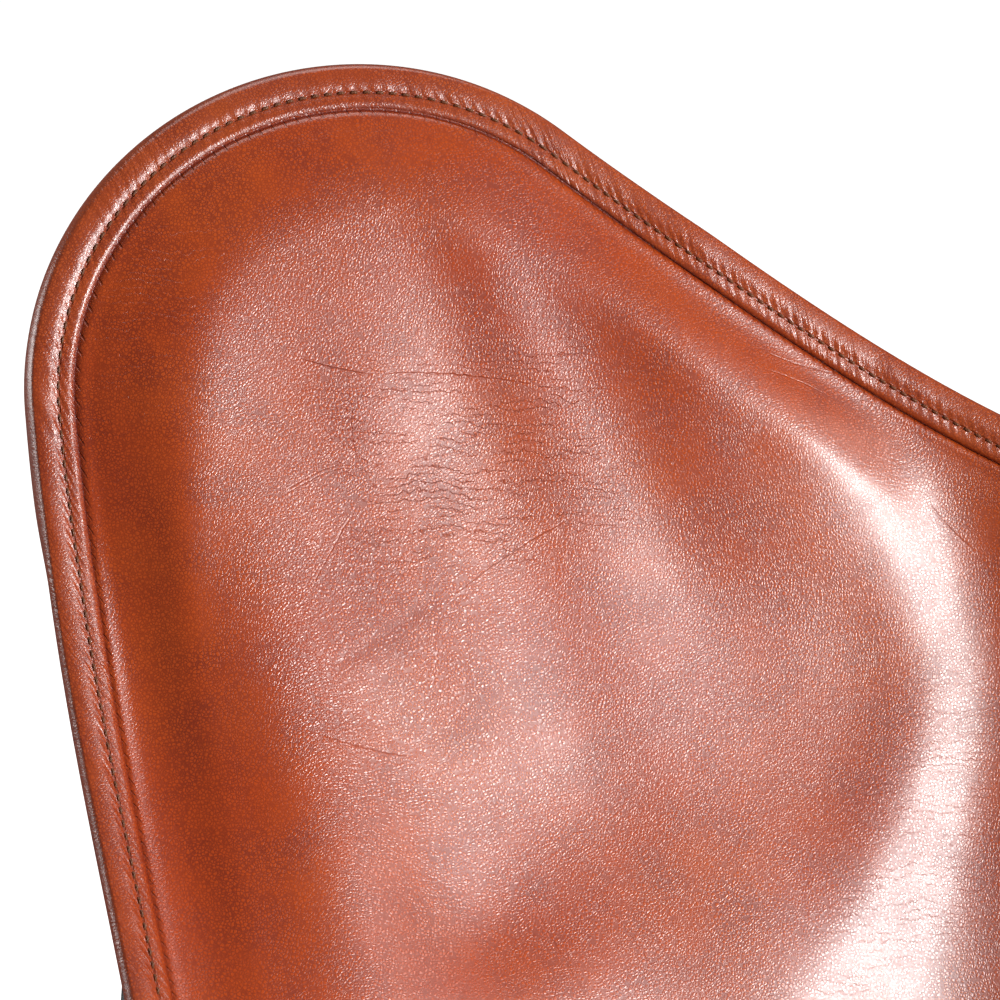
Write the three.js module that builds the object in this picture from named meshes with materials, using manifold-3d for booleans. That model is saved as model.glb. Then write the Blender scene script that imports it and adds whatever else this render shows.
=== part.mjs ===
// Butterfly sling chair: a knock-down frame of two bent steel rod loops, bolted together where
// they cross, and a leather sling whose four corner pockets are pulled over the frame's peaks.
// Millimetres, +Z up, the sitter faces -Y, +X is to the right of someone looking along +Y.
import * as THREE from "three";
import { mergeVertices } from "three/addons/utils/BufferGeometryUtils.js";
import Module from "manifold-3d";

const wasm = await Module();
wasm.setup();

// Frame: the rods, and the leaning planes that they lie in
const rod_diameter = 12;
const foot_bend_radius = 46;
const peak_bend_radius = 60;
const foot_half_spread = 262;
const side_flare_degrees = 7;
const front_foot_reach = 235;
const front_lean_degrees = 6;
const rear_foot_reach = 200;
const rear_lean_degrees = 8.5;
const front_peak_height = 566;
const rear_peak_height = 872;
const rod_sides = 16;
const bend_steps = 8;

// Crossings: flats filed on the rods, and the fasteners through them
const seat_gap = 0.3;
const crossing_flat_depth = 1;
const crossing_flat_length = 15;
const bolt_diameter = 5;
const bolt_hole_diameter = 5.6;
const bolt_head_diameter = 9.5;
const bolt_head_height = 2.75;
const bolt_head_rim = 0.8;
const bolt_socket_width = 3;
const bolt_socket_depth = 1.6;
const washer_diameter = 10;
const washer_bore = 5.6;
const washer_thickness = 1;
const nut_width = 8;
const nut_hex_height = 4;
const nut_dome_height = 5;
const nut_bore = 5.6;
const nut_bore_depth = 6.5;
const thread_engagement = 5;
const round_sides = 20;

// Floor glides
const glide_length = 28;
const glide_width = 20;
const glide_floor = 4;
const glide_lip_rise = 3;
const glide_corner_radius = 3;

// Sling: the leather, and how it hangs between the peaks
const hide_thickness = 3.2;
const pocket_thickness = 2.2;
const rear_ear_half_width = 115;
const rear_ear_half_length = 107;
const rear_ear_setback = 9;
const rear_ear_top_spread_degrees = 25.5;
const rear_ear_side_spread_degrees = 1.5;
const front_ear_half_width = 107;
const front_ear_half_length = 107;
const front_ear_setback = 4;
const front_ear_front_spread_degrees = 15;
const front_ear_side_spread_degrees = 10;
const section_tautness = 2.26;
const back_lean_degrees = 27;
const seat_rise_degrees = 20;
const back_handle = 520;
const seat_handle = 430;
const rear_edge_handle = 526;
const rear_draw_in = 182;
const front_draw_in = 90;
const front_edge_handle = 390;
const cross_seam_share = 0.52;
const edge_stations = 9;
const ear_stations = 10;
const ring_shares = [0, 0.14, 0.29, 0.43, 0.57, 0.7, 0.82, 0.92, 1];
const roll_clearance = 6;
const ear_reach = 120;
const ear_fade = 200;
const binding_width = 14;
const binding_thickness = 1.2;
const rear_pocket_reach = 132;
const front_pocket_reach = 128;
const pocket_mouth_fade = 45;
const pocket_bulge_width = 12;
const bulge_row_shares = [0.5, 1];
const pocket_row_shares = [0.3, 0.65, 1];

const degrees = Math.PI / 180;
const rod_radius = rod_diameter / 2;
const rod_bed_height = glide_floor + seat_gap + rod_radius;
const hide_half = hide_thickness / 2;
const lay_height = rod_radius + seat_gap + hide_half;

// A closed three.js geometry as a solid that can be joined and cut
function toSolid(geometry) {
  const bare = geometry.index ? geometry.clone() : mergeVertices(geometry.clone());
  for (const name of Object.keys(bare.attributes)) {
    if (name !== "position") bare.deleteAttribute(name);
  }
  const merged = mergeVertices(bare);
  return new wasm.Manifold(
    new wasm.Mesh({
      numProp: 3,
      vertProperties: new Float32Array(merged.attributes.position.array),
      triVerts: new Uint32Array(merged.index.array),
    }),
  );
}

function toGeometry(solid) {
  const mesh = solid.getMesh();
  const geometry = new THREE.BufferGeometry();
  geometry.setAttribute("position", new THREE.BufferAttribute(mesh.vertProperties, mesh.numProp));
  geometry.setIndex(new THREE.BufferAttribute(mesh.triVerts, 1));
  geometry.computeVertexNormals();
  return geometry;
}

// The two loops lie in planes that lean out a little and are one rod_pitch apart. At a side, the
// rod from the front peak to the rear foot passes outside the rod from the front foot.
const rod_pitch = rod_diameter - 2 * crossing_flat_depth + seat_gap;
const side_flare = Math.tan(side_flare_degrees * degrees);
const front_lean = Math.tan(front_lean_degrees * degrees);
const rear_lean = Math.tan(rear_lean_degrees * degrees);
const side_step = rod_pitch * Math.hypot(1, side_flare);
const front_step = rod_pitch * Math.hypot(1, front_lean);
const rear_step = rod_pitch * Math.hypot(1, rear_lean);

// The corners of a loop in the order that the rod runs through them
const sites = [
  { side: -1, front: true, peak: false, outer: false },
  { side: 1, front: true, peak: true, outer: true },
  { side: 1, front: false, peak: false, outer: true },
  { side: -1, front: false, peak: true, outer: false },
];

// Where the axes of the two straight runs beside a corner would meet, at height z
function cornerPoint(mirror, site, z) {
  const x = foot_half_spread + side_flare * z + (site.outer ? side_step : 0);
  const front = front_foot_reach + front_lean * z + (mirror * front_step) / 2;
  const rear = rear_foot_reach + rear_lean * z - (mirror * rear_step) / 2;
  return new THREE.Vector3(mirror * site.side * x, site.front ? -front : rear, z);
}

// The round bend at a corner: its centre, the runs it joins and the axes of its plane
function bendAt(corners, i) {
  const radius = sites[i].peak ? peak_bend_radius : foot_bend_radius;
  const before = corners[(i + corners.length - 1) % corners.length].clone().sub(corners[i]).normalize();
  const after = corners[(i + 1) % corners.length].clone().sub(corners[i]).normalize();
  const half = before.angleTo(after) / 2;
  const outward = before.clone().add(after).normalize().negate();
  const across = after.clone().sub(before).normalize();
  const centre = corners[i].clone().addScaledVector(outward, -radius / Math.sin(half));
  return { site: sites[i], corner: corners[i], centre, before, after, outward, across, radius, half };
}

function bendPoint(bend, angle) {
  const out = bend.outward.clone().multiplyScalar(bend.radius * Math.cos(angle));
  return bend.centre.clone().add(out).addScaledVector(bend.across, bend.radius * Math.sin(angle));
}

// The loop's four bends, with each corner raised or lowered until its bend tops out at the height
// of its peak or rests in its glide
function levelledBends(mirror) {
  const heights = sites.map((site) => {
    if (!site.peak) return rod_bed_height;
    return site.front ? front_peak_height - rod_radius : rear_peak_height - rod_radius;
  });
  const levels = [...heights];
  let bends = [];
  for (let pass = 0; pass < 12; pass++) {
    const corners = sites.map((site, i) => cornerPoint(mirror, site, levels[i]));
    bends = corners.map((corner, i) => bendAt(corners, i));
    bends.forEach((bend, i) => {
      const reach = bend.radius * Math.hypot(bend.outward.z, bend.across.z);
      const extreme = bend.centre.z + (sites[i].peak ? reach : -reach);
      levels[i] += heights[i] - extreme;
    });
  }
  return bends;
}

// A rod's axis as stations at the bends, so that the straight runs take one step each
class LoopAxis extends THREE.Curve {
  constructor(bends) {
    super();
    this.stations = bends.flatMap((bend) => {
      const sweep = Math.PI / 2 - bend.half;
      return Array.from({ length: bend_steps + 1 }, (_, k) => {
        const angle = sweep * ((2 * k) / bend_steps - 1);
        const along = bend.across.clone().multiplyScalar(Math.cos(angle));
        const tangent = along.addScaledVector(bend.outward, -Math.sin(angle)).normalize();
        return { point: bendPoint(bend, angle), tangent };
      });
    });
  }
  station(t) {
    return this.stations[Math.round(t * this.stations.length) % this.stations.length];
  }
  getPoint(t, target = new THREE.Vector3()) {
    return target.copy(this.station(t).point);
  }
  getTangent(t, target = new THREE.Vector3()) {
    return target.copy(this.station(t).tangent);
  }
  getUtoTmapping(u) {
    return u;
  }
}

function loopSolid(axis, radius) {
  return toSolid(new THREE.TubeGeometry(axis, axis.stations.length, radius, rod_sides, true));
}

// A straight run between two bends, as the two ends of its axis
function runBetween(bends, i) {
  const next = bends[(i + 1) % bends.length];
  return { from: bends[i].corner, direction: bends[i].after, to: next.corner };
}

// Where two skew runs pass closest, and the line from the first to the second
function crossingOf(first, second) {
  const offset = second.from.clone().sub(first.from);
  const across = first.direction.clone().cross(second.direction);
  const scale = across.lengthSq();
  const along = offset.clone().cross(second.direction).dot(across) / scale;
  const other = offset.clone().cross(first.direction).dot(across) / scale;
  const start = first.from.clone().addScaledVector(first.direction, along);
  const end = second.from.clone().addScaledVector(second.direction, other);
  const axis = end.clone().sub(start).normalize();
  return { start, end, axis, directions: [first.direction, second.direction] };
}

// A frame whose Z is the given axis and whose X runs along a direction square to it
function basisAlong(axis, direction, origin) {
  const x = direction.clone().addScaledVector(axis, -direction.dot(axis)).normalize();
  const y = axis.clone().cross(x);
  return new THREE.Matrix4().makeBasis(x, y, axis).setPosition(origin);
}

// The flats above and below a rod at a crossing, and the bolt hole, cut from the rod
function cutCrossing(rod, point, axis, direction) {
  const basis = basisAlong(axis, direction, point);
  const flat_level = rod_radius - crossing_flat_depth;
  for (const side of [-1, 1]) {
    const block = new THREE.BoxGeometry(crossing_flat_length, rod_diameter, crossing_flat_depth * 2);
    block.translate(0, 0, side * (flat_level + crossing_flat_depth));
    rod = rod.subtract(toSolid(block.applyMatrix4(basis)));
  }
  const drill = new THREE.CylinderGeometry(
    bolt_hole_diameter / 2,
    bolt_hole_diameter / 2,
    rod_diameter * 2,
    round_sides,
  );
  drill.rotateX(Math.PI / 2);
  return rod.subtract(toSolid(drill.applyMatrix4(basis)));
}

const bends_a = levelledBends(1);
const bends_b = levelledBends(-1);
const axis_a = new LoopAxis(bends_a);
const axis_b = new LoopAxis(bends_b);

// Loop a runs front, right, rear, left between its corners and loop b front, left, rear, right
const crossings = [
  { name: "front", ...crossingOf(runBetween(bends_a, 0), runBetween(bends_b, 0)) },
  { name: "right", ...crossingOf(runBetween(bends_a, 1), runBetween(bends_b, 3)) },
  { name: "rear", ...crossingOf(runBetween(bends_a, 2), runBetween(bends_b, 2)) },
  { name: "left", ...crossingOf(runBetween(bends_a, 3), runBetween(bends_b, 1)) },
];

const black_steel = { color: 0x17171a, roughness: 0.45, metalness: 0.3 };
const zinc_steel = { color: 0xb8bcc0, roughness: 0.3, metalness: 0.95 };
const black_nylon = { color: 0x1b1b1c, roughness: 0.6, metalness: 0 };
const tan_leather = { color: 0xb4562a, roughness: 0.34, metalness: 0 };
const lining_leather = { color: 0x9a5a34, roughness: 0.7, metalness: 0 };

const chair = new THREE.Group();

function addPiece(name, geometry, finish, parent = chair) {
  const mesh = new THREE.Mesh(geometry, new THREE.MeshStandardMaterial(finish));
  mesh.name = name;
  parent.add(mesh);
  return mesh;
}

function addLoop(name, axis, index) {
  let rod = loopSolid(axis, rod_radius);
  for (const crossing of crossings) {
    const point = index === 0 ? crossing.start : crossing.end;
    rod = cutCrossing(rod, point, crossing.axis, crossing.directions[index]);
  }
  addPiece(name, toGeometry(rod), black_steel);
}

addLoop("frame_loop_a", axis_a, 0);
addLoop("frame_loop_b", axis_b, 1);

// A turned piece from its outline of [radius, height] points, turned about Z
function turned(points) {
  const outline = points.map(([radius, height]) => new THREE.Vector2(radius, height));
  return new THREE.LatheGeometry(outline, round_sides).rotateX(Math.PI / 2);
}

// A six-sided prism about Z, measured across its flats
function hexPrism(width, bottom, top) {
  const prism = new THREE.CylinderGeometry(
    width / Math.sqrt(3),
    width / Math.sqrt(3),
    top - bottom,
    6,
  );
  return prism.rotateX(Math.PI / 2).translate(0, 0, (top + bottom) / 2);
}

// Fastener heights along the bolt, from the middle of the joint, towards the head
const joint_half = rod_pitch / 2 + rod_radius - crossing_flat_depth;
const head_washer_level = joint_half + seat_gap;
const head_level = head_washer_level + washer_thickness + seat_gap;
const nut_washer_level = -head_washer_level - washer_thickness;
const nut_level = nut_washer_level - seat_gap;

function boltGeometry() {
  const head_radius = bolt_head_diameter / 2;
  const tip = nut_level - thread_engagement;
  const top = head_level + bolt_head_height;
  const dome = [0.35, 0.7].map((rise_share) => [
    head_radius * Math.sqrt(1 - rise_share ** 2),
    head_level + bolt_head_rim + (bolt_head_height - bolt_head_rim) * rise_share,
  ]);
  const outline = [
    [0, tip],
    [bolt_diameter / 2, tip],
    [bolt_diameter / 2, head_level],
    [head_radius, head_level],
    [head_radius, head_level + bolt_head_rim],
    ...dome,
    [bolt_socket_width, top],
    [0, top],
  ];
  const socket = hexPrism(bolt_socket_width, top - bolt_socket_depth, top + bolt_socket_depth);
  return toGeometry(toSolid(turned(outline)).subtract(toSolid(socket)));
}

function washerGeometry(level) {
  const bore = washer_bore / 2;
  const rim = washer_diameter / 2;
  const top = level + washer_thickness;
  return turned([
    [bore, level],
    [rim, level],
    [rim, top],
    [bore, top],
    [bore, level],
  ]);
}

function capNutGeometry() {
  const hex_bottom = nut_level - nut_hex_height;
  const dome_radius = nut_width / 2 - seat_gap;
  const steps = 4;
  const dome = Array.from({ length: steps + 1 }, (_, k) => {
    const angle = (k / steps) * (Math.PI / 2);
    return [dome_radius * Math.sin(angle), hex_bottom - nut_dome_height * Math.cos(angle)];
  });
  dome[0][0] = 0;
  const body = toSolid(turned([...dome, [dome_radius, nut_level], [0, nut_level]]));
  const hex = toSolid(hexPrism(nut_width, hex_bottom, nut_level));
  const drill = new THREE.CylinderGeometry(nut_bore / 2, nut_bore / 2, nut_bore_depth * 2, round_sides);
  drill.rotateX(Math.PI / 2).translate(0, 0, nut_level);
  return toGeometry(body.add(hex).subtract(toSolid(drill)));
}

for (const crossing of crossings) {
  const joint = new THREE.Group();
  const middle = crossing.start.clone().add(crossing.end).divideScalar(2);
  const outside = new THREE.Vector3(middle.x, middle.y, 0);
  const axis = crossing.axis.clone();
  if (axis.dot(outside) < 0) axis.negate();
  joint.applyMatrix4(basisAlong(axis, crossing.directions[0], middle));
  addPiece("crossing_bolt_" + crossing.name, boltGeometry(), zinc_steel, joint);
  addPiece("crossing_head_washer_" + crossing.name, washerGeometry(head_washer_level), zinc_steel, joint);
  addPiece("crossing_nut_washer_" + crossing.name, washerGeometry(nut_washer_level), zinc_steel, joint);
  addPiece("cap_nut_" + crossing.name, capNutGeometry(), zinc_steel, joint);
  chair.add(joint);
}

// A moulded glide under a foot: a block with round corners that the rod snaps down into
function glideSolid(bend, axis) {
  const angle = Math.atan2(bend.across.z, bend.outward.z) + Math.PI;
  const lowest = bendPoint(bend, angle);
  const tangent = bend.across.clone().multiplyScalar(Math.cos(angle));
  tangent.addScaledVector(bend.outward, -Math.sin(angle));
  const basis = basisAlong(new THREE.Vector3(0, 0, 1), tangent, new THREE.Vector3(lowest.x, lowest.y, 0));
  const half_length = glide_length / 2 - glide_corner_radius;
  const half_width = glide_width / 2 - glide_corner_radius;
  const outline = new THREE.Shape();
  outline.absarc(half_length, half_width, glide_corner_radius, 0, Math.PI / 2);
  outline.absarc(-half_length, half_width, glide_corner_radius, Math.PI / 2, Math.PI);
  outline.absarc(-half_length, -half_width, glide_corner_radius, Math.PI, Math.PI * 1.5);
  outline.absarc(half_length, -half_width, glide_corner_radius, Math.PI * 1.5, Math.PI * 2);
  const height = rod_bed_height + glide_lip_rise;
  const block = new THREE.ExtrudeGeometry(outline, { depth: height, bevelEnabled: false, curveSegments: 4 });
  return toSolid(block.applyMatrix4(basis)).subtract(loopSolid(axis, rod_radius + seat_gap));
}

for (const [bends, axis] of [
  [bends_a, axis_a],
  [bends_b, axis_b],
]) {
  for (const bend of bends.filter((each) => !each.site.peak)) {
    const name = (bend.site.front ? "front" : "rear") + (bend.centre.x < 0 ? "_left" : "_right");
    addPiece("floor_glide_" + name, toGeometry(glideSolid(bend, axis)), black_nylon);
  }
}

// The sling's middle surface

// A direction in a peak's plane, turned away from the other run by some degrees
function spreadFrom(direction, other, spread) {
  const away = direction.clone().multiplyScalar(direction.dot(other)).sub(other).normalize();
  const turned_direction = direction.clone().multiplyScalar(Math.cos(spread * degrees));
  return turned_direction.addScaledVector(away, Math.sin(spread * degrees));
}

// An ear over a peak, in the plane of the peak's bend: an ellipse round the bend, the directions
// of the two edges that run off it, and the corner where these edges would meet
function earOver(name, bend, shape) {
  const to_middle = spreadFrom(bend.before, bend.after, shape.middle_spread);
  const to_side = spreadFrom(bend.after, bend.before, shape.side_spread);
  const normal = bend.before.clone().cross(bend.after).normalize();
  if (normal.z < 0) normal.negate();
  const start_share = [name.endsWith("left") ? -0.8 : 0.8, name.startsWith("rear") ? 0.85 : 0.15];
  const ear = { ...shape, bend, to_middle, to_side, normal, start_share };
  const first = tangentPoint(ear, to_middle, to_side);
  const second = tangentPoint(ear, to_side, to_middle);
  const run = first.clone().sub(second).cross(to_side).dot(normal);
  const scale = to_middle.clone().cross(to_side).dot(normal);
  ear.corner = first.addScaledVector(to_middle, -run / scale);
  return ear;
}

// The ear's ellipse at an angle from its tip
function ellipsePoint(ear, angle) {
  const length = ear.half_length * Math.cos(angle) - ear.setback;
  const point = ear.bend.centre.clone().addScaledVector(ear.bend.outward, length);
  return point.addScaledVector(ear.bend.across, ear.half_width * Math.sin(angle));
}

// Where an edge with a direction leaves the ellipse, on the side away from the other edge
function tangentPoint(ear, direction, other) {
  const away = direction.clone().multiplyScalar(direction.dot(other)).sub(other);
  const across = ear.half_width * away.dot(ear.bend.across);
  return ellipsePoint(ear, Math.atan2(across, ear.half_length * away.dot(ear.bend.outward)));
}

const rear_shape = {
  half_width: rear_ear_half_width,
  half_length: rear_ear_half_length,
  setback: rear_ear_setback,
  middle_spread: rear_ear_top_spread_degrees,
  side_spread: rear_ear_side_spread_degrees,
};
const front_shape = {
  half_width: front_ear_half_width,
  half_length: front_ear_half_length,
  setback: front_ear_setback,
  middle_spread: front_ear_front_spread_degrees,
  side_spread: front_ear_side_spread_degrees,
};
const ears = {};
for (const [name, bend, shape] of [
  ["rear_left", bends_a[3], rear_shape],
  ["rear_right", bends_b[3], rear_shape],
  ["front_left", bends_b[1], front_shape],
  ["front_right", bends_a[1], front_shape],
]) {
  ears[name] = earOver(name, bend, shape);
}

// How a section across the sling rises from its middle, at 0, to an edge, at 1: a hyperbola, so
// that the leather runs nearly straight over the ears
const section_scale = Math.hypot(1, section_tautness) - 1;
const sectionRise = (share) => (Math.hypot(1, section_tautness * share) - 1) / section_scale;
const edge_slope = section_tautness ** 2 / Math.hypot(1, section_tautness) / section_scale;

// The middle of the rear or front edge, from how steeply the edges leave the two ears
function edgeMiddle(left, right) {
  const middles = [left, right].map((ear) => {
    const run = Math.abs(ear.corner.x / ear.to_middle.x) / edge_slope;
    return ear.corner.clone().addScaledVector(ear.to_middle, run);
  });
  return new THREE.Vector3(0, (middles[0].y + middles[1].y) / 2, (middles[0].z + middles[1].z) / 2);
}

// The curves that shape the sling: its middle line and its two side edges, front to rear
function slingCurves() {
  const front = edgeMiddle(ears.front_left, ears.front_right);
  const rear = edgeMiddle(ears.rear_left, ears.rear_right);
  const seat_angle = seat_rise_degrees * degrees;
  const back_angle = back_lean_degrees * degrees;
  const seat = new THREE.Vector3(0, Math.cos(seat_angle), -Math.sin(seat_angle));
  const back = new THREE.Vector3(0, -Math.sin(back_angle), -Math.cos(back_angle));
  const middle = new THREE.CubicBezierCurve3(
    front,
    front.clone().addScaledVector(seat, seat_handle),
    rear.clone().addScaledVector(back, back_handle),
    rear,
  );
  const sides = ["left", "right"].map((side) => {
    const front_ear = ears["front_" + side];
    const rear_ear = ears["rear_" + side];
    const inward = new THREE.Vector3(side === "left" ? 1 : -1, 0, 0);
    const front_pull = front_ear.to_side.clone().multiplyScalar(front_edge_handle);
    const rear_pull = rear_ear.to_side.clone().multiplyScalar(rear_edge_handle);
    return new THREE.CubicBezierCurve3(
      front_ear.corner,
      front_ear.corner.clone().add(front_pull).addScaledVector(inward, front_draw_in),
      rear_ear.corner.clone().add(rear_pull).addScaledVector(inward, rear_draw_in),
      rear_ear.corner,
    );
  });
  return { middle, left: sides[0], right: sides[1] };
}

let curves = slingCurves();

// The free surface at a share across, -1 at the left edge and 1 at the right, and a share along,
// 0 at the front edge and 1 at the rear
function freePoint(across, along) {
  const edge = (across < 0 ? curves.left : curves.right).getPoint(along);
  const middle = curves.middle.getPoint(along);
  const rise = sectionRise(Math.abs(across));
  return new THREE.Vector3(
    Math.abs(across) * edge.x,
    middle.y + (edge.y - middle.y) * rise,
    middle.z + (edge.z - middle.z) * rise,
  );
}

const smooth = (share) => THREE.MathUtils.smoothstep(share, 0, 1);

// How much an ear's shape counts at a point: 1 over the peak, 0 beyond the pocket
function earWeight(ear, point) {
  return 1 - smooth((point.distanceTo(ear.bend.centre) - ear_reach) / ear_fade);
}

// The surface with its ears stretched flat over the peaks, a rod's radius in front of their axes
function slingPoint(across, along) {
  const point = freePoint(across, along);
  const side = across < 0 ? "left" : "right";
  const shift = new THREE.Vector3();
  for (const ear of [ears["front_" + side], ears["rear_" + side]]) {
    const height = point.clone().sub(ear.bend.centre).dot(ear.normal);
    shift.addScaledVector(ear.normal, (lay_height - height) * earWeight(ear, point));
  }
  return point.add(shift);
}

// The surface's normal, which points up and to the sitter
const probe_share = 1e-4;
function slingNormal(across, along) {
  const u = slingPoint(across + probe_share, along).sub(slingPoint(across - probe_share, along));
  const v = slingPoint(across, along + probe_share).sub(slingPoint(across, along - probe_share));
  return u.cross(v).normalize();
}

// The place on the surface that covers a point, seen square to an ear's plane
function placeOver(point, ear) {
  const u = ear.bend.outward;
  const v = ear.bend.across;
  let place = ear.start_share;
  for (let pass = 0; pass < 12; pass++) {
    const miss = freePoint(...place).sub(point);
    const du = freePoint(place[0] + probe_share, place[1]).sub(point).sub(miss);
    const dv = freePoint(place[0], place[1] + probe_share).sub(point).sub(miss);
    const [a, b, c, d] = [du.dot(u), dv.dot(u), du.dot(v), dv.dot(v)];
    const scale = probe_share / (a * d - b * c);
    const [p, q] = [miss.dot(u), miss.dot(v)];
    place = [place[0] - (d * p - b * q) * scale, place[1] - (a * q - c * p) * scale];
  }
  return place;
}

// Each ear is laid on its peak: the corners move square to the peak's plane until the leather
// just clears the rod all round the bend
for (let pass = 0; pass < 4; pass++) {
  for (const ear of Object.values(ears)) {
    const heights = [-1, -0.5, 0, 0.5, 1].map((share) => {
      const point = bendPoint(ear.bend, share * (Math.PI / 2 - ear.bend.half));
      return freePoint(...placeOver(point, ear)).sub(point).dot(ear.normal);
    });
    ear.corner.addScaledVector(ear.normal, lay_height - Math.min(...heights));
  }
  curves = slingCurves();
}

// The leather rolls back over the rod within this distance of an ear's edge
const ear_overhangs = Object.values(ears).flatMap((ear) => [ear.half_width, ear.half_length - ear.setback]);
const roll_width = Math.min(...ear_overhangs) - peak_bend_radius - rod_radius - roll_clearance;

// One hide, from the middle of the sling to a rounded corner. Its places are shares of the way to
// the side edge and to the rear or front edge.
class Panel {
  constructor(name) {
    this.ear = ears[name];
    this.side = name.endsWith("left") ? -1 : 1;
    this.reach = name.startsWith("rear") ? rear_pocket_reach : front_pocket_reach;
    this.rear = name.startsWith("rear");
    this.inset = seat_gap / 2 / this.point(1, 0).distanceTo(this.point(0, 0));
    this.outline = this.roundedOutline();
    this.edge = this.outline.map((place) => this.point(...place));
    this.strips = this.outline.map((place, k) => this.stripAt(place, k));
  }
  along(b) {
    return this.rear ? cross_seam_share + (1 - cross_seam_share) * b : cross_seam_share * (1 - b);
  }
  point(a, b) {
    return slingPoint(this.side * a, this.along(b));
  }
  normal(a, b) {
    return slingNormal(this.side * Math.max(a, probe_share), this.along(b));
  }
  // The panel's place over a point of the ear's ellipse
  ellipsePlace(angle) {
    const [across, along] = placeOver(ellipsePoint(this.ear, angle), this.ear);
    const share = this.rear
      ? (along - cross_seam_share) / (1 - cross_seam_share)
      : 1 - along / cross_seam_share;
    return [across * this.side, share];
  }
  // The ellipse joins each edge where it runs alongside it
  roundedOutline() {
    const angles = Array.from({ length: 91 }, (_, k) => (k * 2 - 90) * degrees);
    const places = angles.map((angle) => this.ellipsePlace(angle));
    const widest = angles[places.reduce((best, place, k) => (place[0] > places[best][0] ? k : best), 0)];
    const furthest = angles[places.reduce((best, place, k) => (place[1] > places[best][1] ? k : best), 0)];
    const arc = Array.from({ length: ear_stations + 1 }, (_, k) =>
      this.ellipsePlace(widest + ((furthest - widest) * k) / ear_stations),
    );
    const [side, middle] = [arc[0], arc[ear_stations]];
    const outline = [];
    for (let k = 0; k < edge_stations; k++) {
      const share = k / edge_stations;
      outline.push([1 + (side[0] - 1) * smooth(share), this.inset + (side[1] - this.inset) * share]);
    }
    outline.push(...arc);
    for (let k = edge_stations - 1; k >= 0; k--) {
      const share = k / edge_stations;
      outline.push([this.inset + (middle[0] - this.inset) * share, 1 + (middle[1] - 1) * smooth(share)]);
    }
    return outline;
  }
  // A place on the way from the panel's inner corner to a point of the outline
  inner(place, share) {
    return place.map((value) => this.inset + (value - this.inset) * share);
  }
  edgeDistance(point) {
    let best = Infinity;
    for (let k = 1; k < this.edge.length; k++) {
      const line = new THREE.Line3(this.edge[k - 1], this.edge[k]);
      best = Math.min(best, line.closestPointToPoint(point, true, new THREE.Vector3()).distanceTo(point));
    }
    return best;
  }
  // The hide's middle: the surface, rolled back over the rod towards the ear's edge
  hideOffset(point) {
    const roll = (rod_radius + seat_gap / 2) * smooth(this.mouthDepth(point) / pocket_mouth_fade);
    return -roll * (1 - smooth(this.edgeDistance(point) / roll_width));
  }
  lifted(place, offset) {
    return this.point(...place).addScaledVector(this.normal(...place), offset);
  }
  // A place at a distance in from the edge, on the way from a place of the outline to another
  insetPlace(place, target, distance) {
    const at = (share) => place.map((value, axis) => value + (target[axis] - value) * share);
    let share = 0;
    let far_share = 1;
    if (this.edgeDistance(this.point(...target)) < distance) return target;
    for (let pass = 0; pass < 16; pass++) {
      const middle_share = (share + far_share) / 2;
      if (this.edgeDistance(this.point(...at(middle_share))) < distance) share = middle_share;
      else far_share = middle_share;
    }
    return at(share);
  }
  // The strip along the edge that the binding covers: its two ends on the hide's middle, the
  // direction in from the edge, and the direction square to the strip
  stripAt(place, k) {
    const inner_place = this.insetPlace(place, this.inner(place, 0), binding_width);
    const edge = this.lifted(place, this.hideOffset(this.point(...place)));
    const inner = this.lifted(inner_place, this.hideOffset(this.point(...inner_place)));
    const before = this.edge[Math.max(k - 1, 0)];
    const after = this.edge[k + 1] ?? before.clone().setX(-before.x);
    const along = after.clone().sub(before).normalize();
    const inward = inner.clone().sub(edge);
    inward.addScaledVector(along, -inward.dot(along)).normalize();
    const out = along.clone().cross(inward).normalize();
    if (out.dot(this.normal(...place)) < 0) out.negate();
    return { place, inner_place, edge, inner, inward, out };
  }
  // How far a point of the outline is inside the pocket's mouth
  mouthDepth(point) {
    return this.reach - point.distanceTo(this.ear.bend.centre);
  }
  // The strips that the pocket spans, from one end of its mouth round the ear to the other
  pocketStrips() {
    return this.strips.filter((strip) => this.mouthDepth(strip.edge) > 0);
  }
  // The pocket's middle: against the hide along its edge, and behind the rods inside that
  pocketPoint(place, offset) {
    const point = this.point(...place);
    const normal = this.normal(...place);
    const flat = this.hideOffset(point) - pocket_level;
    const height = point.clone().sub(this.ear.bend.centre).dot(this.ear.normal) / normal.dot(this.ear.normal);
    const deep = -height - rod_radius - seat_gap - pocket_thickness / 2;
    const bulge = smooth((this.edgeDistance(point) - binding_width - seat_gap) / pocket_bulge_width);
    return point.addScaledVector(normal, flat + (Math.min(deep, flat) - flat) * bulge + offset);
  }
}

// A closed solid between two grids of points, one over the other
function sheetBetween(top, bottom) {
  const columns = top.length;
  const rows = top[0].length;
  const vertices = [...top.flat(), ...bottom.flat()];
  const faces = [];
  const quad = (a, b, c, d) => faces.push([a, b, c], [a, c, d]);
  const at = (layer, i, j) => layer * columns * rows + i * rows + j;
  for (let i = 1; i < columns; i++) {
    for (let j = 1; j < rows; j++) {
      quad(at(0, i - 1, j - 1), at(0, i, j - 1), at(0, i, j), at(0, i - 1, j));
      quad(at(1, i - 1, j - 1), at(1, i - 1, j), at(1, i, j), at(1, i, j - 1));
    }
    quad(at(0, i, 0), at(0, i - 1, 0), at(1, i - 1, 0), at(1, i, 0));
    quad(at(0, i - 1, rows - 1), at(0, i, rows - 1), at(1, i, rows - 1), at(1, i - 1, rows - 1));
  }
  for (let j = 1; j < rows; j++) {
    quad(at(0, 0, j - 1), at(0, 0, j), at(1, 0, j), at(1, 0, j - 1));
    quad(at(0, columns - 1, j), at(0, columns - 1, j - 1), at(1, columns - 1, j - 1), at(1, columns - 1, j));
  }
  return closedGeometry(vertices, faces);
}

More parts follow.
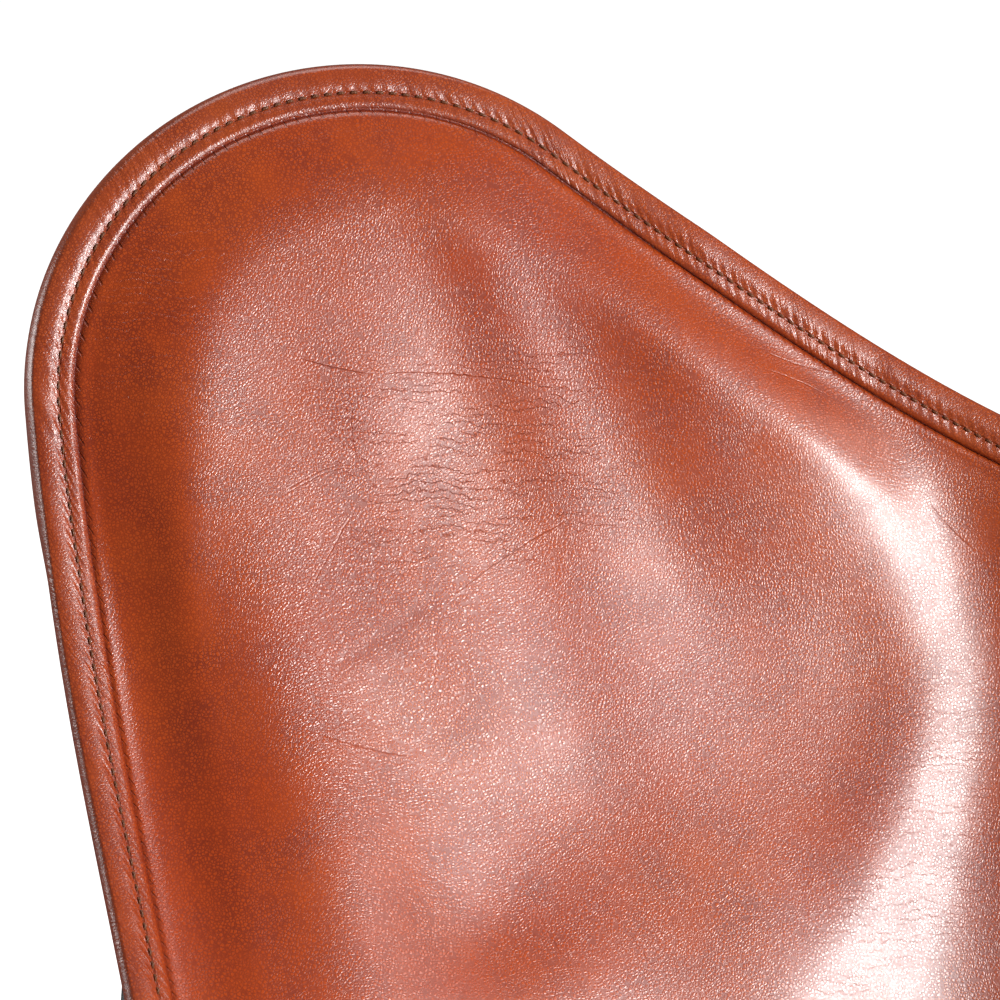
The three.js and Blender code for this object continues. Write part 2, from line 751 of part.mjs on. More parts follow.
// A closed surface from points and faces: faces that shrink to a line are left out, and the
// surface is turned right side out
function closedGeometry(points, faces) {
  const raw = new THREE.BufferGeometry().setFromPoints(points).setIndex(faces.flat());
  const merged = mergeVertices(raw, 1e-3);
  const index = [...merged.index.array];
  const kept = [];
  let volume = 0;
  const [p, q, r] = [new THREE.Vector3(), new THREE.Vector3(), new THREE.Vector3()];
  for (let k = 0; k < index.length; k += 3) {
    const [a, b, c] = index.slice(k, k + 3);
    if (a === b || b === c || c === a) continue;
    kept.push([a, b, c]);
    p.fromBufferAttribute(merged.attributes.position, a);
    q.fromBufferAttribute(merged.attributes.position, b);
    r.fromBufferAttribute(merged.attributes.position, c);
    volume += p.dot(q.cross(r));
  }
  if (volume < 0) kept.forEach((face) => face.reverse());
  merged.setIndex(kept.flat());
  merged.computeVertexNormals();
  return merged;
}

const panels = Object.fromEntries(Object.keys(ears).map((name) => [name, new Panel(name)]));

function hideGeometry(panel) {
  const grids = [1, -1].map((face) =>
    panel.strips.map((strip) => {
      const roll_place = panel.insetPlace(strip.inner_place, panel.inner(strip.place, 0), roll_width);
      const column = ring_shares.map((ring_share) => {
        const place = panel.inner(roll_place, ring_share);
        return panel.lifted(place, panel.hideOffset(panel.point(...place)) + face * hide_half);
      });
      const sewn = [strip.inner, strip.edge];
      column.push(...sewn.map((point) => point.clone().addScaledVector(strip.out, face * hide_half)));
      return column;
    }),
  );
  return sheetBetween(...grids);
}

// The distance behind the hide's middle of a layer sewn against its back
const pocket_level = hide_half + seat_gap + pocket_thickness / 2;

// The binding wraps the edge of a hide and, round an ear, the edge of its pocket. Its section is
// a U, drawn in the plane of the hide's first strip and turned with the edge.
function bindingGeometry(panel) {
  const pocket = panel.pocketStrips();
  const rings = panel.strips.map((strip) => {
    const front = hide_half + seat_gap;
    const back = -front - (pocket.includes(strip) ? pocket_thickness + seat_gap : 0);
    const skin = binding_thickness;
    const nose = skin + seat_gap;
    const section = [
      [strip.inner, 0, front],
      [strip.edge, -seat_gap, front],
      [strip.edge, -seat_gap, back],
      [strip.inner, 0, back],
      [strip.inner, 0, back - skin],
      [strip.edge, 0, back - skin],
      [strip.edge, -nose, back],
      [strip.edge, -nose, front],
      [strip.edge, 0, front + skin],
      [strip.inner, 0, front + skin],
    ];
    return section.map(([point, x, y]) =>
      point.clone().addScaledVector(strip.inward, x).addScaledVector(strip.out, y),
    );
  });
  return sweptSolid(rings);
}

// A closed solid through rings of points, capped at both ends by fans over the section's walls.
// Each quad is split from the earlier ring's inner side, as the layers inside the binding are.
function sweptSolid(rings) {
  const count = rings[0].length;
  const faces = [];
  for (let i = 1; i < rings.length; i++) {
    for (let j = 0; j < count; j++) {
      const next = (j + 1) % count;
      const [a, b, c, d] = [(i - 1) * count + j, (i - 1) * count + next, i * count + next, i * count + j];
      if (j === count / 2 - 3 || j === count - 2) faces.push([a, b, d], [b, c, d]);
      else faces.push([a, b, c], [a, c, d]);
    }
  }
  const last = (rings.length - 1) * count;
  for (let j = 0; j < count / 2 - 1; j++) {
    const [a, b, c, d] = [j, j + 1, count - 2 - j, count - 1 - j];
    faces.push([a, c, b], [a, d, c], [last + a, last + b, last + c], [last + a, last + c, last + d]);
  }
  return closedGeometry(rings.flat(), faces);
}

// The pocket behind an ear: sewn to the hide round the ear's edge, and bulged over the rod's bend
// and its two runs down to the mouth
function pocketGeometry(panel) {
  const strips = panel.pocketStrips();
  const first = strips[0].inner_place;
  const last = strips[strips.length - 1].inner_place;
  const between = (from, to, share) => from.map((value, axis) => value + (to[axis] - value) * share);
  const grids = [1, -1].map((face) =>
    strips.map((strip, k) => {
      const half = (face * pocket_thickness) / 2;
      const mouth = between(first, last, k / (strips.length - 1));
      const deep = panel.insetPlace(strip.inner_place, mouth, binding_width + pocket_bulge_width);
      const places = [
        ...bulge_row_shares.map((share) => between(strip.inner_place, deep, share)),
        ...pocket_row_shares.map((share) => between(deep, mouth, share)),
      ];
      const sewn = [strip.inner, strip.edge].map((point) =>
        point.clone().addScaledVector(strip.out, half - pocket_level),
      );
      return [...places.reverse().map((place) => panel.pocketPoint(place, half)), ...sewn];
    }),
  );
  return sheetBetween(...grids);
}

for (const [name, panel] of Object.entries(panels)) {
  const hide = (panel.rear ? "hide_back_" : "hide_seat_") + name.split("_")[1];
  addPiece(hide, hideGeometry(panel), tan_leather);
  addPiece("pocket_" + name, pocketGeometry(panel), lining_leather);
  addPiece("binding_" + name, bindingGeometry(panel), tan_leather);
}

// The part's origin is at the middle of its bounding box, on the floor
const box = new THREE.Box3().setFromObject(chair);
chair.position.set(-(box.min.x + box.max.x) / 2, -(box.min.y + box.max.y) / 2, -box.min.z);
const part = new THREE.Group();
part.add(chair);

export default part;
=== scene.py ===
"""A butterfly sling chair: a glossy tan leather sling on a crossed frame of bent black rod.

The rods, fasteners and glides keep their CAD shapes and get finishes. The sling is drawn again
from the same sizes, finer: hides with swells and a rolled edge, pockets, a stitched binding.
Lengths are in metres; the sitter faces -Y and +Z is up.
"""
import logging
import math
from dataclasses import dataclass, field
from enum import Enum
from typing import Sequence

import bpy
import numpy as np
from mathutils import Matrix, Vector


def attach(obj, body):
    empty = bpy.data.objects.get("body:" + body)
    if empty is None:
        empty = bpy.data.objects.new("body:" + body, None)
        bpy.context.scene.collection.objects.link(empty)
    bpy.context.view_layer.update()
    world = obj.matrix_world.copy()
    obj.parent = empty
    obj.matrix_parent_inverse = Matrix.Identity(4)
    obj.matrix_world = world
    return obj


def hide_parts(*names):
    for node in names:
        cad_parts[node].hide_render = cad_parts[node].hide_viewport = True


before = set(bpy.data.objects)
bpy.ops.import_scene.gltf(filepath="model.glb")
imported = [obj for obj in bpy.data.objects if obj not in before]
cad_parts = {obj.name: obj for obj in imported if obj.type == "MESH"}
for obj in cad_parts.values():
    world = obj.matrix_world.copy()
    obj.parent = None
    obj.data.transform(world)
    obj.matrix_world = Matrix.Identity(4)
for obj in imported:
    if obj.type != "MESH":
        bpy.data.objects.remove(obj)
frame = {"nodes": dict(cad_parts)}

log = logging.getLogger("sling_chair")
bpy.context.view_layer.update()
Array = np.ndarray

STITCH_PITCH = 0.0045  # from one stitch of any row to the next
HEM_WIDTH = 0.014  # of the binding, in from the hide's edge
STITCH_ROW = 0.0087  # the binding's row of stitches, in from the edge
POINTS_A_STITCH = 4  # along a row of stitches
NUDGE = 1e-4  # a small step in a share, to measure a slope over
LEVELLING_ROUNDS = 12  # of moving a loop's corners, so that each bend stands at its height
LAYING_ROUNDS = 4  # of raising the ears, so that the leather lies on the rods
SEARCH_ROUNDS = 14  # of closing in on a place of the surface


def unit(v: Array) -> Array:
    """Vectors scaled to length one, along the last axis."""
    return v / np.linalg.norm(v, axis=-1, keepdims=True)


def dot(a: Array, b: Array) -> Array:
    """The scalar product along the last axis."""
    return (a * b).sum(-1)


def smooth(share: Array) -> Array:
    """A smooth step from 0 to 1 as the share goes from 0 to 1."""
    s = np.clip(share, 0.0, 1.0)
    return s * s * (3.0 - 2.0 * s)


def pair(first: Array, second: Array) -> Array:
    """Two numbers for each point, along a new last axis."""
    return np.stack(np.broadcast_arrays(first, second), axis=-1)


def run_along(line: Array) -> Array:
    """The length of a line up to each of its points."""
    return np.concatenate([[0], np.cumsum(np.linalg.norm(np.diff(line, axis=0), axis=1))])


def hump(distance: Array, width: float) -> Array:
    """A soft ridge of height one at distance zero, about as wide as the width says."""
    return np.exp(-((distance / width) ** 2))


class Corner(Enum):
    """The four corners of the sling, as the nodes name them."""

    FRONT_LEFT = "front_left"
    FRONT_RIGHT = "front_right"
    REAR_RIGHT = "rear_right"
    REAR_LEFT = "rear_left"

    @property
    def rear(self) -> bool:
        """Whether the corner is one of the back's."""
        return self.value.startswith("rear")

    @property
    def side(self) -> int:
        """-1 on the left and 1 on the right."""
        return -1 if self.value.endswith("left") else 1

    @property
    def hide(self) -> str:
        """The name of the hide that ends in this corner."""
        return ("hide_back_" if self.rear else "hide_seat_") + self.value.split("_")[1]

    @property
    def loop(self) -> str:
        """The name of the rod loop whose peak fills this corner."""
        return "frame_loop_a" if self.rear == (self.side < 0) else "frame_loop_b"


@dataclass(frozen=True)
class Bend:
    """A round bend of a rod, in the plane of the two straight runs that it joins."""

    centre: Array
    before: Array
    after: Array
    outward: Array
    across: Array
    radius: float
    half: float

    def point(self, angle: float) -> Array:
        """A point of the rod's axis at an angle from the bend's tip."""
        out = self.outward * math.cos(angle) + self.across * math.sin(angle)
        return self.centre + self.radius * out


@dataclass(frozen=True)
class RodLoops:
    """The sizes that settle where the two rod loops and their peaks are."""

    rod: float = 0.012
    foot_bend: float = 0.046
    peak_bend: float = 0.060
    foot_half_spread: float = 0.262
    side_flare: float = math.tan(math.radians(7.0))
    front_foot_reach: float = 0.235
    front_lean: float = math.tan(math.radians(6.0))
    rear_foot_reach: float = 0.200
    rear_lean: float = math.tan(math.radians(8.5))
    front_peak: float = 0.566
    rear_peak: float = 0.872
    flat_depth: float = 0.001
    gap: float = 0.0003
    glide_floor: float = 0.004

    @property
    def pitch(self) -> float:
        """The distance between the two loops' planes."""
        return self.rod - 2 * self.flat_depth + self.gap

    def corner(self, mirror: int, site: tuple[int, bool, bool, bool], z: float) -> Array:
        """Where the axes of the two runs beside a corner would meet.

        Args:
            mirror: 1 for loop a and -1 for loop b.
            site: the corner's side, and whether it is front, a peak and in the outer plane.
            z: the corner's height.

        Returns:
            The corner's point.
        """
        side, front, _, outer = site
        x = self.foot_half_spread + self.side_flare * z
        x += self.pitch * math.hypot(1, self.side_flare) if outer else 0.0
        front_step = mirror * self.pitch * math.hypot(1, self.front_lean) / 2
        rear_step = mirror * self.pitch * math.hypot(1, self.rear_lean) / 2
        front_y = -(self.front_foot_reach + self.front_lean * z + front_step)
        rear_y = self.rear_foot_reach + self.rear_lean * z - rear_step
        return np.array([mirror * side * x, front_y if front else rear_y, z])

    def bends(self, mirror: int) -> list[Bend]:
        """The four bends of a loop, each levelled to its peak's height or its glide.

        Args:
            mirror: 1 for loop a and -1 for loop b.

        Returns:
            The bends in the order that the rod runs.
        """
        sites = [(-1, True, False, False), (1, True, True, True),
                 (1, False, False, True), (-1, False, True, False)]
        bed = self.glide_floor + self.gap + self.rod / 2
        tops = {True: self.front_peak - self.rod / 2, False: self.rear_peak - self.rod / 2}
        heights = [tops[front] if peak else bed for _, front, peak, _ in sites]
        levels = list(heights)
        bends: list[Bend] = []
        for _ in range(LEVELLING_ROUNDS):
            corners = [self.corner(mirror, site, z) for site, z in zip(sites, levels)]
            bends = [self._bend(corners, i, sites[i][2]) for i in range(4)]
            for i, bend in enumerate(bends):
                reach = bend.radius * math.hypot(bend.outward[2], bend.across[2])
                top = bend.centre[2] + (reach if sites[i][2] else -reach)
                levels[i] += heights[i] - top
        return bends

    def _bend(self, corners: list[Array], i: int, peak: bool) -> Bend:
        """The bend at a corner between its two neighbours.

        Args:
            corners: the loop's four corners.
            i: the corner's number.
            peak: whether it is a peak.

        Returns:
            The bend.
        """
        radius = self.peak_bend if peak else self.foot_bend
        before = unit(corners[i - 1] - corners[i])
        after = unit(corners[(i + 1) % 4] - corners[i])
        half = math.acos(float(dot(before, after))) / 2
        outward = -unit(before + after)
        centre = corners[i] - outward * radius / math.sin(half)
        return Bend(centre, before, after, outward, unit(after - before), radius, half)


@dataclass
class Ear:
    """A rounded corner of the sling, in the plane of the peak that it is pulled over."""

    bend: Bend
    half_width: float
    half_length: float
    setback: float
    middle_spread: float
    side_spread: float
    start: tuple[float, float]
    to_middle: Array = field(init=False)
    to_side: Array = field(init=False)
    normal: Array = field(init=False)
    corner: Array = field(init=False)

    def __post_init__(self) -> None:
        """Works out the edges' directions and the corner where they would meet."""
        bend = self.bend
        self.to_middle = self._spread(bend.before, bend.after, self.middle_spread)
        self.to_side = self._spread(bend.after, bend.before, self.side_spread)
        normal = unit(np.cross(bend.before, bend.after))
        self.normal = normal if normal[2] > 0 else -normal
        first = self._tangent(self.to_middle, self.to_side)
        second = self._tangent(self.to_side, self.to_middle)
        run = dot(np.cross(first - second, self.to_side), self.normal)
        scale = dot(np.cross(self.to_middle, self.to_side), self.normal)
        self.corner = first - self.to_middle * run / scale

    @staticmethod
    def _spread(direction: Array, other: Array, degrees: float) -> Array:
        """A direction turned away from another, in their plane.

        Args:
            direction: the direction.
            other: the other one.
            degrees: how far it is turned.

        Returns:
            The turned direction.
        """
        away = unit(direction * dot(direction, other) - other)
        angle = math.radians(degrees)
        return direction * math.cos(angle) + away * math.sin(angle)

    def _tangent(self, direction: Array, other: Array) -> Array:
        """Where an edge leaves the ellipse.

        Args:
            direction: the edge's direction.
            other: the other edge's, on whose far side it leaves.

        Returns:
            The point.
        """
        away = direction * dot(direction, other) - other
        across = self.half_width * float(dot(away, self.bend.across))
        along = self.half_length * float(dot(away, self.bend.outward))
        return self.ellipse(math.atan2(across, along))

    def ellipse(self, angle: Array | float) -> Array:
        """Points of the ear's outline at angles from its tip.

        Args:
            angle: one angle or an array of them.

        Returns:
            The points, along a new last axis.
        """
        angle = np.asarray(angle)[..., None]
        length = self.half_length * np.cos(angle) - self.setback
        width = self.half_width * np.sin(angle)
        return self.bend.centre + self.bend.outward * length + self.bend.across * width

    def plane(self, points: Array) -> tuple[Array, Array]:
        """Places of points in the ear's plane, out from the bend's centre and across."""
        offset = points - self.bend.centre
        return dot(offset, self.bend.outward), dot(offset, self.bend.across)


def bezier(p: Sequence[Array], t: Array) -> Array:
    """Points of a cubic curve.

    Args:
        p: its four control points.
        t: shares along it.

    Returns:
        The points, along a new last axis.
    """
    t = np.asarray(t)[..., None]
    s = 1 - t
    return s**3 * p[0] + 3 * s * s * t * p[1] + 3 * s * t * t * p[2] + t**3 * p[3]


@dataclass
class Sling:
    """The middle surface of the leather between the four peaks."""

    loops: RodLoops = field(default_factory=RodLoops)
    hide: float = 0.0032
    pocket: float = 0.0022
    tautness: float = 2.26
    back_lean: float = math.radians(27)
    seat_rise: float = math.radians(20)
    back_handle: float = 0.520
    seat_handle: float = 0.430
    rear_edge_handle: float = 0.526
    front_edge_handle: float = 0.390
    rear_draw_in: float = 0.182
    front_draw_in: float = 0.090
    cross_seam: float = 0.52
    roll_clearance: float = 0.006
    ear_reach: float = 0.120
    ear_fade: float = 0.200
    middle: tuple[float, float, float] = (-0.0000021, -0.0213201, 0.0)

    def __post_init__(self) -> None:
        """Places the ears on the peaks and lays the leather on the rods."""
        a, b = self.loops.bends(1), self.loops.bends(-1)
        rear = {"half_width": 0.115, "half_length": 0.107, "setback": 0.009,
                "middle_spread": 25.5, "side_spread": 1.5}
        front = {"half_width": 0.107, "half_length": 0.107, "setback": 0.004,
                 "middle_spread": 15.0, "side_spread": 10.0}
        self.ears = {
            Corner.REAR_LEFT: Ear(a[3], start=(-0.8, 0.85), **rear),
            Corner.REAR_RIGHT: Ear(b[3], start=(0.8, 0.85), **rear),
            Corner.FRONT_LEFT: Ear(b[1], start=(-0.8, 0.15), **front),
            Corner.FRONT_RIGHT: Ear(a[1], start=(0.8, 0.15), **front),
        }
        self.lay = self.loops.rod / 2 + self.loops.gap + self.hide / 2
        ears = self.ears.values()
        overhang = min(min(e.half_width, e.half_length - e.setback) for e in ears)
        self.roll_width = overhang - self.loops.peak_bend - self.loops.rod / 2
        self.roll_width -= self.roll_clearance
        self._draw()
        for _ in range(LAYING_ROUNDS):
            for ear in self.ears.values():
                angles = np.array([-1, -0.5, 0, 0.5, 1]) * (math.pi / 2 - ear.bend.half)
                points = np.array([ear.bend.point(x) for x in angles])
                heights = dot(self.free(*self.place_over(points, ear)) - points, ear.normal)
                ear.corner = ear.corner + ear.normal * (self.lay - heights.min())
            self._draw()

    def _edge_middle(self, left: Ear, right: Ear) -> Array:
        """The middle of the front or rear edge, from how the edges leave its two ears.

        Args:
            left: the left ear.
            right: the right ear.

        Returns:
            The point.
        """
        slope = self.tautness**2 / math.hypot(1, self.tautness) / self._rise_scale
        points = [e.corner + e.to_middle * abs(e.corner[0] / e.to_middle[0]) / slope
                  for e in (left, right)]
        return np.array([0.0, *((points[0] + points[1]) / 2)[1:]])

    @property
    def _rise_scale(self) -> float:
        """What makes a section's rise one at its edge."""
        return math.hypot(1, self.tautness) - 1

    def _draw(self) -> None:
        """The middle line and the two side edges, front to rear."""
        ears = self.ears
        front = self._edge_middle(ears[Corner.FRONT_LEFT], ears[Corner.FRONT_RIGHT])
        rear = self._edge_middle(ears[Corner.REAR_LEFT], ears[Corner.REAR_RIGHT])
        seat = np.array([0, math.cos(self.seat_rise), -math.sin(self.seat_rise)])
        back = np.array([0, -math.sin(self.back_lean), -math.cos(self.back_lean)])
        self.line = (front, front + seat * self.seat_handle, rear + back * self.back_handle, rear)
        self.edges = {}
        for side, f, r in ((-1, Corner.FRONT_LEFT, Corner.REAR_LEFT),
                           (1, Corner.FRONT_RIGHT, Corner.REAR_RIGHT)):
            inward = np.array([-side, 0.0, 0.0])
            fe, re = ears[f], ears[r]
            self.edges[side] = (
                fe.corner,
                fe.corner + fe.to_side * self.front_edge_handle + inward * self.front_draw_in,
                re.corner + re.to_side * self.rear_edge_handle + inward * self.rear_draw_in,
                re.corner,
            )

    def free(self, across: Array, along: Array) -> Array:
        """The surface before its ears are laid flat.

        Args:
            across: shares across, -1 on the left edge and 1 on the right.
            along: shares along, 0 at the front and 1 at the rear.

        Returns:
            The points, along a new last axis.
        """
        a = np.abs(across)
        left, right = bezier(self.edges[-1], along), bezier(self.edges[1], along)
        edge = np.where((across < 0)[..., None], left, right)
        middle = bezier(self.line, along)
        rise = (np.hypot(1, self.tautness * a) - 1) / self._rise_scale
        out = middle + (edge - middle) * rise[..., None]
        out[..., 0] = a * edge[..., 0]
        return out

    def point(self, across: Array, along: Array) -> Array:
        """The surface with its ears stretched flat over the peaks.

        Args:
            across: shares across.
            along: shares along.

        Returns:
            The points, along a new last axis.
        """
        free = self.free(across, along)
        shift = np.zeros_like(free)
        for corner, ear in self.ears.items():
            offset = free - ear.bend.centre
            distance = np.linalg.norm(offset, axis=-1)
            weight = 1 - smooth((distance - self.ear_reach) / self.ear_fade)
            weight = weight * ((across < 0) == (corner.side < 0))
            shift += ((self.lay - dot(offset, ear.normal)) * weight)[..., None] * ear.normal
        return free + shift

    def normal(self, across: Array, along: Array) -> Array:
        """The surface's normal, up and towards the sitter.

        Args:
            across: shares across.
            along: shares along.

        Returns:
            The normals.
        """
        h = NUDGE
        u = self.point(across + h, along) - self.point(across - h, along)
        v = self.point(across, along + h) - self.point(across, along - h)
        return unit(np.cross(u, v))

    def place_over(self, points: Array, ear: Ear) -> tuple[Array, Array]:
        """The places on the surface that cover points, seen square to an ear's plane.

        Args:
            points: points in or near the ear's plane.
            ear: the ear.

        Returns:
            The shares across and along.
        """
        h = NUDGE
        a = np.full(points.shape[:-1], ear.start[0])
        t = np.full(points.shape[:-1], ear.start[1])
        u, v = ear.bend.outward, ear.bend.across
        for _ in range(SEARCH_ROUNDS):
            here = self.free(a, t)
            da, dt = self.free(a + h, t) - here, self.free(a, t + h) - here
            miss = here - points
            m = (dot(da, u), dot(dt, u), dot(da, v), dot(dt, v))
            scale = h / (m[0] * m[3] - m[1] * m[2])
            p, q = dot(miss, u), dot(miss, v)
            a, t = a - (m[3] * p - m[1] * q) * scale, t - (m[0] * q - m[2] * p) * scale
        return a, t


MIDDLE = np.array(Sling.middle)


@dataclass
class MeshMaker:
    """Gathers the vertices, faces, UVs and face slots of one piece."""

    name: str
    points: list[Array] = field(default_factory=list)
    faces: list[Array] = field(default_factory=list)
    uvs: list[Array] = field(default_factory=list)
    rims: list[Array] = field(default_factory=list)
    slots: list[Array] = field(default_factory=list)
    count: int = 0

    def add_grid(self, grid: Array, uv: Array, slot: int, flip: bool = False,
                 closed: bool = False, rim: Array | None = None) -> Array:
        """Adds a grid of quads.

        Args:
            grid: points by column and row.
            uv: two shares or lengths for each point.
            slot: the material slot.
            flip: whether to turn the faces round.
            closed: whether the last row joins the first.
            rim: two more lengths for each point, for the second UV map.

        Returns:
            The vertex numbers, by column and row.
        """
        columns, rows = grid.shape[:2]
        ids = self.count + np.arange(columns * rows).reshape(columns, rows)
        self.points.append(grid.reshape(-1, 3))
        self.uvs.append(uv.reshape(-1, 2))
        self.rims.append((uv if rim is None else rim).reshape(-1, 2))
        self.count += columns * rows
        if closed:
            ids = np.concatenate([ids, ids[:, :1]], axis=1)
        quads = np.stack([ids[:-1, :-1], ids[1:, :-1], ids[1:, 1:], ids[:-1, 1:]], axis=-1)
        self.add_faces(quads.reshape(-1, 4), slot, flip)
        return ids

    def add_faces(self, quads: Array, slot: int, flip: bool = False) -> None:
        """Adds quads over points that are there already."""
        self.faces.append(quads[:, ::-1] if flip else quads)
        self.slots.append(np.full(len(quads), slot, np.int32))

    def bridge(self, first: Array, second: Array, slot: int, flip: bool) -> None:
        """Adds a strip of quads between two rows of points that are there already."""
        quads = np.stack([first[:-1], first[1:], second[1:], second[:-1]], axis=-1)
        self.add_faces(quads, slot, flip)

    def build(self, materials: Sequence[bpy.types.Material]) -> bpy.types.Object:
        """Makes the object.

        Args:
            materials: one for each slot.

        Returns:
            The object, with smooth faces and two UV maps.
        """
        points = np.concatenate(self.points)
        quads = np.concatenate(self.faces)
        mesh = bpy.data.meshes.new(self.name)
        mesh.vertices.add(len(points))
        mesh.vertices.foreach_set("co", points.astype(np.float32).ravel())
        mesh.loops.add(quads.size)
        mesh.loops.foreach_set("vertex_index", quads.astype(np.int32).ravel())
        mesh.polygons.add(len(quads))
        mesh.polygons.foreach_set("loop_start", np.arange(0, quads.size, 4, dtype=np.int32))
        mesh.polygons.foreach_set("material_index", np.concatenate(self.slots))
        for name, lengths in (("UVMap", self.uvs), ("Rim", self.rims)):
            layer = mesh.uv_layers.new(name=name)
            values = np.concatenate(lengths)[quads.ravel()]
            layer.data.foreach_set("uv", values.astype(np.float32).ravel())
        mesh.update(calc_edges=True)
        mesh.validate()
        mesh.polygons.foreach_set("use_smooth", np.ones(len(mesh.polygons), bool))
        obj = bpy.data.objects.new(self.name, mesh)
        bpy.context.scene.collection.objects.link(obj)
        for material in materials:
            obj.data.materials.append(material)
        return obj


@dataclass
class Panel:
    """One hide's place on the sling, from the middle to a rounded corner."""

    sling: Sling
    corner: Corner
    edge_stations: int = 420
    ear_stations: int = 300
    rear_reach: float = 0.132
    front_reach: float = 0.128
    mouth_ease: float = 0.045
    knot_stride: int = 3
    batch: int = 4000

    def __post_init__(self) -> None:
        """Draws the outline and an even walk round it."""
        self.ear = self.sling.ears[self.corner]
        self.reach = self.rear_reach if self.corner.rear else self.front_reach
        width = np.linalg.norm(self.point(1.0, 0.0) - self.point(0.0, 0.0))
        self.inset = self.sling.loops.gap / 2 / width
        self.outline = self._rounded_outline()
        self.edge = self.point(*self.outline.T)
        self.length = run_along(self.edge)

    def _along(self, b: Array) -> Array:
        """The sling's share along at the panel's share from the cross seam."""
        seam = self.sling.cross_seam
        return seam + (1 - seam) * b if self.corner.rear else seam * (1 - b)

    def point(self, a: Array | float, b: Array | float) -> Array:
        """Points of the surface at the panel's shares."""
        a, b = np.broadcast_arrays(np.asarray(a, float), np.asarray(b, float))
        return self.sling.point(self.corner.side * a, self._along(b))

    def normal(self, a: Array, b: Array) -> Array:
        """Normals at the panel's shares."""
        a = np.maximum(np.asarray(a, float), 1.01 * NUDGE)
        return self.sling.normal(self.corner.side * a, self._along(np.asarray(b, float)))

    def _ellipse_place(self, angle: Array) -> Array:
        """The panel's places over points of the ear's outline.

        Args:
            angle: angles from the ear's tip.

        Returns:
            The places.
        """
        across, along = self.sling.place_over(self.ear.ellipse(angle), self.ear)
        seam = self.sling.cross_seam
        b = (along - seam) / (1 - seam) if self.corner.rear else 1 - along / seam
        return np.stack([across * self.corner.side, b], axis=-1)

    def _rounded_outline(self) -> Array:
        """Draws the outline: the side edge, the ear, and the rear or front edge.

        Returns:
            Its places.
        """
        angles = np.radians(np.arange(-90, 91, 2.0))
        places = self._ellipse_place(angles)
        widest, furthest = angles[places[:, 0].argmax()], angles[places[:, 1].argmax()]
        arc = self._ellipse_place(np.linspace(widest, furthest, self.ear_stations + 1))
        share = np.arange(self.edge_stations) / self.edge_stations
        side, middle = arc[0], arc[-1]
        first = np.stack([1 + (side[0] - 1) * smooth(share),
                          self.inset + (side[1] - self.inset) * share], axis=-1)
        last = np.stack([self.inset + (middle[0] - self.inset) * share,
                         1 + (middle[1] - 1) * smooth(share)], axis=-1)[::-1]
        return np.concatenate([first, arc, last])

    def walk(self, step: float) -> Array:
        """Places evenly spaced along the outline.

        Args:
            step: the spacing.

        Returns:
            The places, from the side edge at the cross seam to the middle.
        """
        count = max(8, round(self.length[-1] / step))
        s = np.linspace(0, self.length[-1], count + 1)
        return np.stack([np.interp(s, self.length, self.outline[:, k]) for k in (0, 1)], axis=-1)

    def edge_distance(self, points: Array) -> Array:
        """How far points are from the outline.

        Args:
            points: the points.

        Returns:
            The distances.
        """
        flat = points.reshape(-1, 3)
        knots = np.concatenate([self.edge[:-1:self.knot_stride], self.edge[-1:]])
        a, d = knots[:-1], np.diff(knots, axis=0)
        best = np.full(len(flat), np.inf)
        for start in range(0, len(flat), self.batch):
            some = slice(start, start + self.batch)
            p = flat[some, None]
            t = np.clip(dot(p - a, d) / dot(d, d), 0, 1)
            best[some] = np.linalg.norm(p - a - t[..., None] * d, axis=-1).min(1)
        return best.reshape(points.shape[:-1])

    def mouth_depth(self, points: Array) -> Array:
        """How far points are inside the pocket's mouth."""
        return self.reach - np.linalg.norm(points - self.ear.bend.centre, axis=-1)

    def roll(self, points: Array, distance: Array) -> Array:
        """How far the leather's middle is rolled back over the rod towards the edge.

        Args:
            points: points of the surface.
            distance: how far they are from the edge.

        Returns:
            The heights, all 0 or less.
        """
        deep = self.sling.loops.rod / 2 + self.sling.loops.gap / 2
        deep = deep * smooth(self.mouth_depth(points) / self.mouth_ease)
        return -deep * (1 - smooth(distance / self.sling.roll_width))

    def place_in(self, places: Array, distance: float) -> Array:
        """Places at a distance in from the outline, on the way to the panel's inner corner.

        Args:
            places: places of the outline.
            distance: how far in.

        Returns:
            The places.
        """
        low, high = np.zeros(len(places)), np.full(len(places), 0.5)
        inner = np.array([self.inset, self.inset])
        for _ in range(SEARCH_ROUNDS):
            share = (low + high) / 2
            p = places + (inner - places) * share[:, None]
            near = self.edge_distance(self.point(p[:, 0], p[:, 1])) < distance
            low, high = np.where(near, share, low), np.where(near, high, share)
        return places + (inner - places) * low[:, None]


